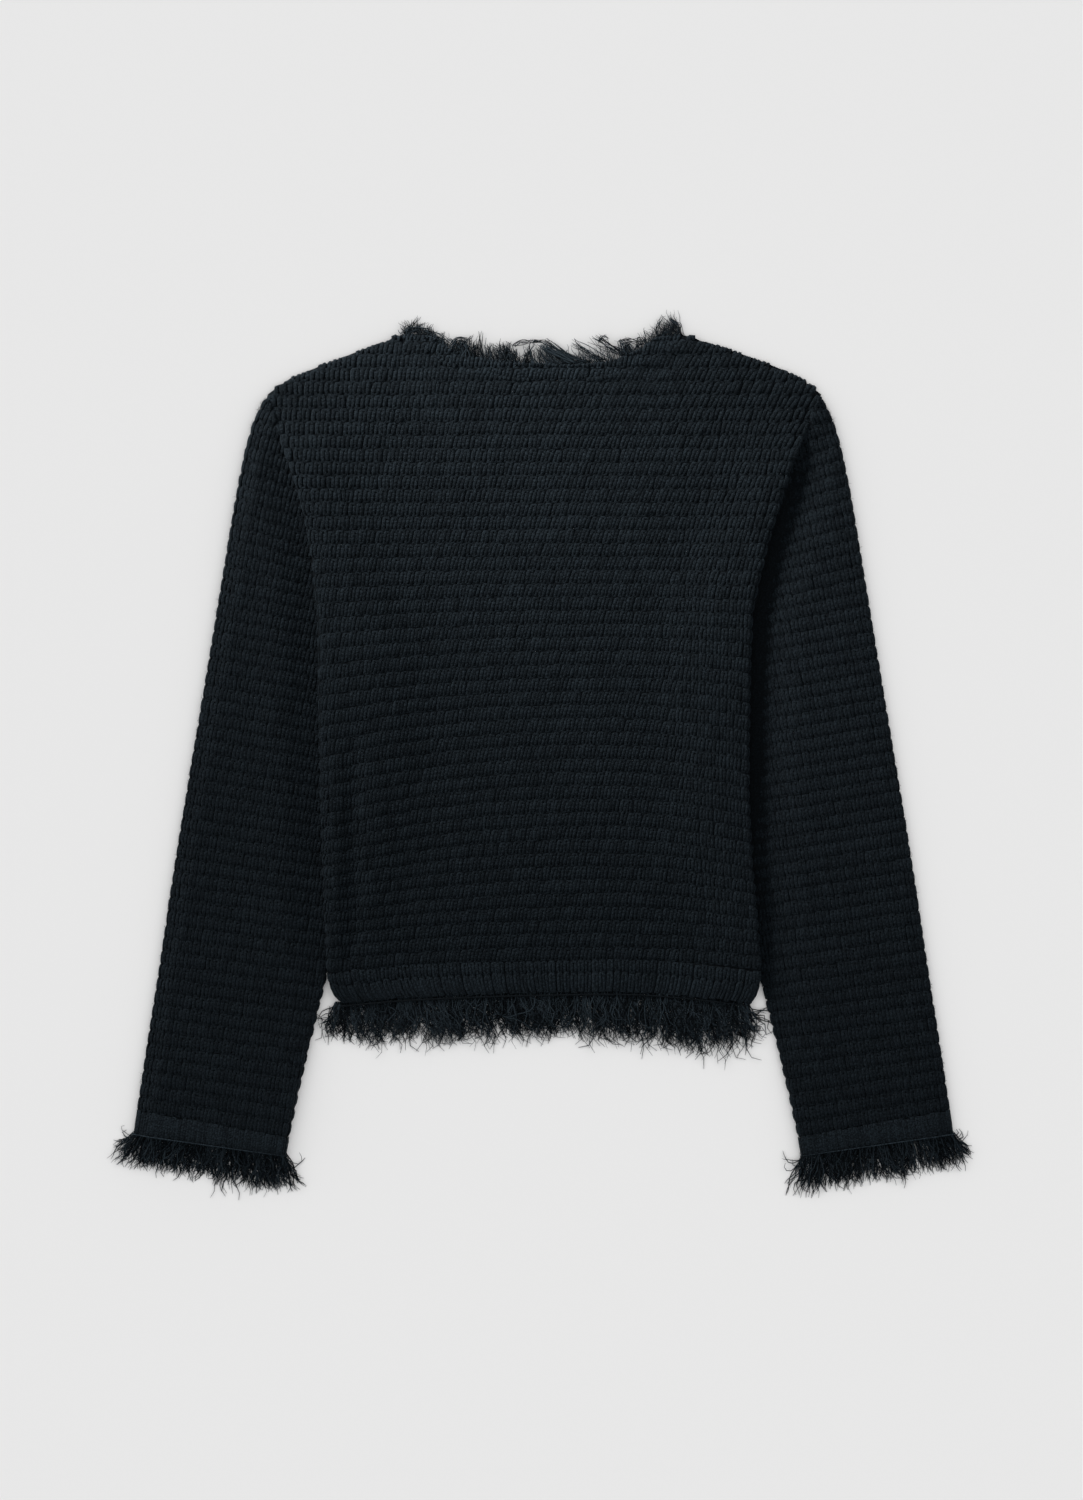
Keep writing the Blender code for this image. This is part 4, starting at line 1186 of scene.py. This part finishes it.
def grow(root, heading, length, sweep, curl, fall, rng, pull=None, rings=9):
    """Lines from roots (strands, 3): heading and sweep in radians from -Y towards +X, fall to a height."""
    count = len(root)
    t = np.linspace(0, 1, rings)[None]
    phase, turns = rng.random((count, 1)), rng.uniform(0.9, 2.6, (count, 1))
    wave = np.sin(2 * math.pi * (turns * t + phase))
    angle = heading[:, None] + sweep[:, None] * t ** 1.5 + curl[:, None] * wave * t
    step = length[:, None] / (rings - 1)
    x = root[:, :1] + np.cumsum(np.sin(angle) * step, axis=1) - np.sin(angle[:, :1]) * step
    y = root[:, 1:2] - np.cumsum(np.cos(angle) * step, axis=1) + np.cos(angle[:, :1]) * step
    if pull is not None:
        x = x + pull[:, :1] * t ** 1.3
        y = y + pull[:, 1:] * t ** 1.3
    z = root[:, 2:] + (fall[:, None] - root[:, 2:]) * t ** 0.7 + 0.35 * wave * t
    return np.stack([x, y, z], axis=2)


def clumped(count, reach, wide, rng):
    """Strands spread along an edge: their places, the way to the middle of their clump, and its number."""
    cuts = [0.0]
    while cuts[-1] < reach:
        cuts.append(cuts[-1] + rng.uniform(0.65, 1.45) * wide)
    place = np.sort(rng.uniform(0, reach, count))
    clump = np.searchsorted(cuts, place) - 1
    middle = (np.array(cuts)[clump] + np.array(cuts)[clump + 1]) / 2
    return place, middle - place, clump


def unruly(length, sweep, shortest, hooked, curl, rng):
    """A quarter of the strands are cut short, a few are hooked, and all of them curl, in degrees."""
    count = len(length)
    length = length * np.where(rng.random(count) < 0.25, rng.uniform(shortest, 0.9, count), 1.0)
    hooks = rng.random(count) < hooked
    sweep = np.where(hooks, sweep + np.radians(rng.choice((-150, 150), count)), sweep)
    return length, sweep, np.radians(curl[0] + curl[1] * rng.random(count))


def add_fringe(node, lines, radius, rng):
    """The strands of a fringe, in its solid's place."""
    fringe = strand_mesh(f"{node}_strands", lines, radius, rng)
    finish_piece(fringe, "fringe_wool")
    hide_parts(node)


# %% [markdown]
# ## The hem fringe
#
# The fringe was cut by hand, so its length goes up and down. `REACH` gives how far it hangs below the
# band at places along the hem, in millimetres. Its clumps lean a little to the right.

# %% Hem fringe
REACH = (
    (-168, 26), (-160, 24), (-153, 27), (-143, 30), (-135, 32), (-127, 35), (-121, 27), (-110, 32),
    (-98, 32), (-84, 35), (-75, 31), (-68, 29), (-61, 30), (-51, 36), (-44, 33), (-35, 30), (-22, 34),
    (-14, 33), (0, 30), (16, 31), (25, 31), (30, 27), (37, 39), (41, 29), (45, 25), (50, 32), (56, 38),
    (60, 33), (66, 34), (74, 38), (80, 33), (90, 36), (95, 38), (106, 40), (115, 37), (120, 39),
    (129, 40), (134, 33), (142, 31), (149, 39), (155, 33), (162, 26))
HEM_CLUMP = 8.0  # width of a clump


def hem_fringe(part, first, last, per_mm, high, seed, rings):
    """The fringe below a part's hem band, between two places along it, with its roots at a height."""
    rng = np.random.default_rng(seed)
    count = int((last - first) * per_mm)
    place, to_middle, clump = clumped(count, last - first, HEM_CLUMP, rng)
    x = first + place
    band = triangles(f"hem_band_{part}")
    root_y = np.interp(x, *edge(band, corner(band, -0.3, -1), corner(band, 0.3, -1), 0, 0))
    root = np.stack([x, root_y + rng.uniform(0.5, 2.5, count),
                     high + 0.5 * rng.standard_normal(count)], axis=1)
    of_clump = rng.standard_normal((clump.max() + 1, 3))
    heading = np.radians(6 + 8 * of_clump[clump, 0] + 19 * rng.standard_normal(count))
    heading += np.radians(np.interp(x, (-170, -155, -140), (-30, -12, 0)))
    sweep = np.radians(14 * of_clump[clump, 1] + 16 * rng.standard_normal(count) + 8)
    reach = np.interp(x + to_middle * 0.5, *zip(*REACH))
    length = reach * (1.20 + 0.05 * of_clump[clump, 2] + 0.12 * rng.standard_normal(count)) + 1.5
    length, sweep, curl = unruly(length, sweep, 0.45, 0.10, (32, 48), rng)
    fall = rng.uniform(0.4, 0.8 * high, count)
    pull = np.stack([to_middle * rng.uniform(0.0, 0.7, count), np.zeros(count)], axis=1)
    lines = grow(root, heading, length, sweep, curl, fall, rng, pull, rings)
    add_fringe(f"hem_fringe_{part}", lines, STRAND, rng)


hem_first, hem_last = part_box("hem_fringe_back")[0].x / MM + 4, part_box("hem_fringe_back")[1].x / MM - 1
hem_fringe("back", hem_first, hem_last, 4.2, 4.6, 61, 8)
hem_fringe("front_left", hem_first, -0.5, 1.5, 1.6, 63, 7)
hem_fringe("front_right", 0.5, hem_last, 1.5, 1.6, 63, 7)

# %% [markdown]
# ## The cuff fringes
#
# A cuff's fringe goes all round it, so it has an upper and a lower layer. It fans out towards the outer
# side, where its strands are shorter.

# %% Cuff fringes
CUFF_CLUMP = 8.5  # width of a clump
CUFF_LAYERS = ((4.4, 450), (1.4, 330))  # the height of a layer's roots and the number of its strands
for name, side in SIDES.items():
    rng = np.random.default_rng(71 + int(side))
    tris = triangles(f"cuff_band_{name}") * (side, 1.0, 1.0)
    outer, inner = corner(tris, 1, -0.3), corner(tris, -0.3, -1)
    wide = np.linalg.norm(inner - outer)
    along = (inner - outer) / wide
    layers = []
    for high, count in CUFF_LAYERS:
        place, to_middle, clump = clumped(count, wide, CUFF_CLUMP, rng)
        t = place / wide
        of_clump = rng.standard_normal((clump.max() + 1, 3))
        plan = outer + (inner - outer) * t[:, None]
        root = np.stack([plan[:, 0] * side, plan[:, 1] + rng.uniform(0.5, 2.5, count),
                         high + 0.5 * rng.standard_normal(count)], axis=1)
        heading = np.interp(t, (0, 0.12, 0.5, 0.9, 1), (36, 22, 6, -4, -14)) + 8 * of_clump[clump, 0]
        heading = np.radians(heading + 13 * rng.standard_normal(count)) * side
        sweep = np.radians(10 * of_clump[clump, 1] + 16 * rng.standard_normal(count))
        length = np.interp(t, (0, 0.1, 0.5, 1), (27, 28, 30, 30)) * (1 + 0.10 * of_clump[clump, 2])
        length = length * (1 + 0.09 * rng.standard_normal(count))
        length, sweep, curl = unruly(length, sweep, 0.5, 0.08, (18, 30), rng)
        pull = to_middle[:, None] * rng.uniform(0.0, 0.6, (count, 1)) * along[None] * (side, 1.0)
        fall = rng.uniform(0.4, 0.8 * high, count)
        layers.append(grow(root, heading, length, sweep, curl, fall, rng, pull))
    add_fringe(f"cuff_fringe_{name}", np.concatenate(layers), STRAND, rng)

# %% [markdown]
# ## The neck fringe
#
# Round the neck the fringe was pushed about as the cardigan was laid down. Some strands stand up in
# tufts, some lie over to the left in a bundle, and some are loops. So it is laid out bundle by bundle:
# each runs from one place to another, with a bow to its left, and has its own count and spread.
# Combs of finer loose hairs stand between the bundles.

# %% Where the neck fringe lies
Bundle = namedtuple("Bundle", "x0 y0 x1 y1 bow wide0 wide1 count")
NECK_BACK = (
    (-67, 317, -65, 331, 0, 10, 8, 74), (-74, 327, -60, 330, 3.5, 2, 2, 9),
    (-55, 316, -53, 328, 1, 2.5, 2.5, 12), (-47, 316, -50, 335, 1.5, 2, 1.5, 7),
    (-42, 313, -45, 328, 0, 2.5, 3, 11), (-29, 312, -33, 328, 0, 8.5, 7, 56),
    (-24, 316, -22, 323, 0, 4, 4, 12), (-12, 312, -11, 322, 0, 5, 3, 21),
    (-10, 319, -8, 330, 1, 2, 2, 6), (-8, 330, 7, 328, 2, 1.5, 2, 6),
    (-24, 327, -8, 330, 2, 1.5, 2, 5), (31, 313, 2, 328.5, 1.5, 7, 5, 40),
    (20, 312, 0, 327, 1.5, 9, 3, 25), (8, 312, -4, 324, 1.5, 6, 3, 15),
    (51, 314, 23, 330, 1, 6, 2.5, 11), (66, 319, 40, 332.5, 1, 6, 3, 12),
    (45, 330, 51, 331, 2.5, 1.5, 1.5, 6), (68, 319, 63, 330, 0, 5, 4.5, 37),
    (61, 330, 77, 331.5, 0.8, 1.5, 2, 5), (74, 324, 84, 329, 4, 2, 2, 9))
NECK_FRONT = {
    "left": (
        (-112, 336, -84, 330, 7.0, 3.5, 4, 9), (-109, 333, -107, 343, 0.5, 2.5, 1.0, 16),
        (-107, 332, -77, 324, 6, 5, 5, 20), (-100, 330, -84, 326, -2, 8, 8, 31),
        (-98, 334, -100, 344, 1, 3, 1.0, 7), (-89, 331, -92, 340, 1, 3, 1.5, 8)),
    "right": (
        (101, 331, 101.5, 346, 0, 8, 4.5, 22), (102, 347, 109, 336, 2.5, 2, 1.5, 10),
        (92, 334, 97, 350, 3.5, 1.0, 1.0, 5), (92, 330, 104, 339, 1, 5, 6, 25)),
}
# A comb of loose hairs has a first and a last place, a pitch, a length and a lean. Each end of the
# neckline has one too, on a line of its own.
NECK_COMBS = ((-90, 90, 1.2, 12.5, 10), (-14, 58, 1.2, 16, 44), (-60, -12, 1.5, 14, 24))
NECK_END = {"left": (-112, -76, 0.9, 10.0, 12, ((-113, -105, -95, -85, -75), (335, 340, 337, 331, 324))),
            "right": (84, 97, 0.9, 10.0, 8, ((84, 93, 102, 113), (328, 337, 339, 332)))}
BUNDLE_STRAND, HAIR = 0.38, 0.27  # radii of a tied strand and of a loose one
FRONT_HAIRS = 170  # on each front
BACK_HIGH, END_HIGH, FRONT_HIGH = 4.6, 3.0, 1.6  # heights of the strands: back, its ends, fronts
print("The neck has", sum(map(len, (NECK_BACK, *NECK_FRONT.values()))), "bundles")

# %% [markdown]
# ## Bundles and combs
#
# Hair particles could grow these, but each bundle has its own place, and lines can be put there. The
# strands of a bundle start and end in spreads of their own, with a bow between them. The hairs of a comb
# stand side by side along the neckline, and each one leans its own way.

# %% Bundles and combs
def bundle_lines(values, rng, high, rings=9):
    """The strands of one bundle, which lie about a height."""
    bundle = Bundle(*values)
    n = bundle.count
    start = np.array((bundle.x0, bundle.y0)) + rng.uniform(-1, 1, (n, 2)) * (bundle.wide0, 1.5)
    end = np.array((bundle.x1, bundle.y1)) + rng.normal(0, 0.6, (n, 2)) * (bundle.wide1 + 0.5, 3.0)
    gap = end - start
    left = unit(np.stack([-gap[:, 1], gap[:, 0]], axis=1))
    t = np.linspace(0, 1, rings)[None, :, None]
    bow = (bundle.bow + 1.3 * rng.standard_normal(n))[:, None, None]
    wave = rng.uniform(0.3, 1.6, n)[:, None, None] * np.sin(2 * math.pi * (t * 1.2 + rng.random((n, 1, 1))))
    plan = start[:, None] + gap[:, None] * t + left[:, None] * (bow * 4 * t * (1 - t) + wave * t)
    z = high + 0.7 * rng.standard_normal((n, 1))
    z = z + 0.8 * np.sin(math.pi * t[..., 0]) * rng.standard_normal((n, 1))
    return np.concatenate([plan, np.clip(z, 0.5, 6.5)[..., None]], axis=2)


def comb_lines(x0, x1, pitch, length, lean, line, rng, high):
    """Short hairs side by side along the neckline, two at each step."""
    x = np.repeat(np.arange(x0, x1, pitch), 2)
    x = x + 0.5 * rng.standard_normal(len(x))
    root = np.stack([x, np.interp(x, *line) - 2.0, np.full(len(x), high)], axis=1)
    heading = math.pi + np.radians(lean + 24 * rng.standard_normal(len(x)))
    size = length * rng.uniform(0.35, 1.3, len(x))
    sweep, curl = np.radians(25 * rng.standard_normal(len(x))), np.full(len(x), 0.5)
    return grow(root, heading, size, sweep, curl, np.full(len(x), high - 1), rng)


def neck_fringe(part, bundles, combs, rng):
    """The fringe above a part's neckline: its tied bundles are of thicker strands than its loose hairs."""
    kinds = ((bundles, BUNDLE_STRAND), (combs, HAIR))
    thick = [np.full(sum(map(len, lines)), radius) for lines, radius in kinds]
    add_fringe(f"neck_fringe_{part}", np.concatenate(bundles + combs), np.concatenate(thick), rng)


# %% [markdown]
# ## The fringe round the neck
#
# The back's bundles and combs stand on the neck band's upper edge. Each front has the bundles at its end
# of the neckline, and a row of hairs behind the back's.

# %% Neck fringe
rng = np.random.default_rng(81)
band = triangles("neck_band_back")
neckline = edge(band, corner(band, -1, 0), corner(band, 1, 0), 0, 1)
bundles = [bundle_lines(values, rng, BACK_HIGH) for values in NECK_BACK]
combs = [comb_lines(*values, neckline, rng, BACK_HIGH + 0.2) for values in NECK_COMBS]
neck_fringe("back", bundles, combs, rng)

for name, side in SIDES.items():
    band = triangles(f"neck_band_front_{name}")
    ends = sorted((corner(band, -1, 0), corner(band, 1, 0)), key=lambda c: c[0])
    upper = edge(band, *ends, 0, 1)
    x = rng.uniform(ends[0][0] + 4, ends[1][0] - 4, FRONT_HAIRS)
    every = np.ones(FRONT_HAIRS)
    root = np.stack([x, np.interp(x, *upper) - 2, FRONT_HIGH * every], axis=1)
    heading = math.pi + np.radians(np.interp(side * x, (0, 60, 110), (0, 30, 40))) * side
    heading = heading + np.radians(12 * rng.standard_normal(FRONT_HAIRS))
    size, sweep = rng.uniform(14, 24, FRONT_HAIRS), np.radians(20 * rng.standard_normal(FRONT_HAIRS))
    combs = [grow(root, heading, size, sweep, 0.3 * every, every, rng)]
    combs += [comb_lines(*NECK_END[name], rng, END_HIGH + 0.4)]
    bundles = [bundle_lines(values, rng, END_HIGH) for values in NECK_FRONT[name]]
    neck_fringe(f"front_{name}", bundles, combs, rng)

# %% [markdown]
# ## The cut
#
# Each piece of cloth has a size of its own when it is laid out flat. A sleeve and a cuff are tubes, so
# their width is the whole way round. The fronts and sleeves lie on the floor, and the back lies on them.

# %% [markdown]
# ## Counting and measuring
#
# A knit of real loops grows heavy soon, so the triangles are counted. The whole scene is then measured.

# %% Count the triangles and measure the scene
total = 0
for piece in cloth_lit.objects:
    piece.data.calc_loop_triangles()
    total += len(piece.data.loop_triangles)
low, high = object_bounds()
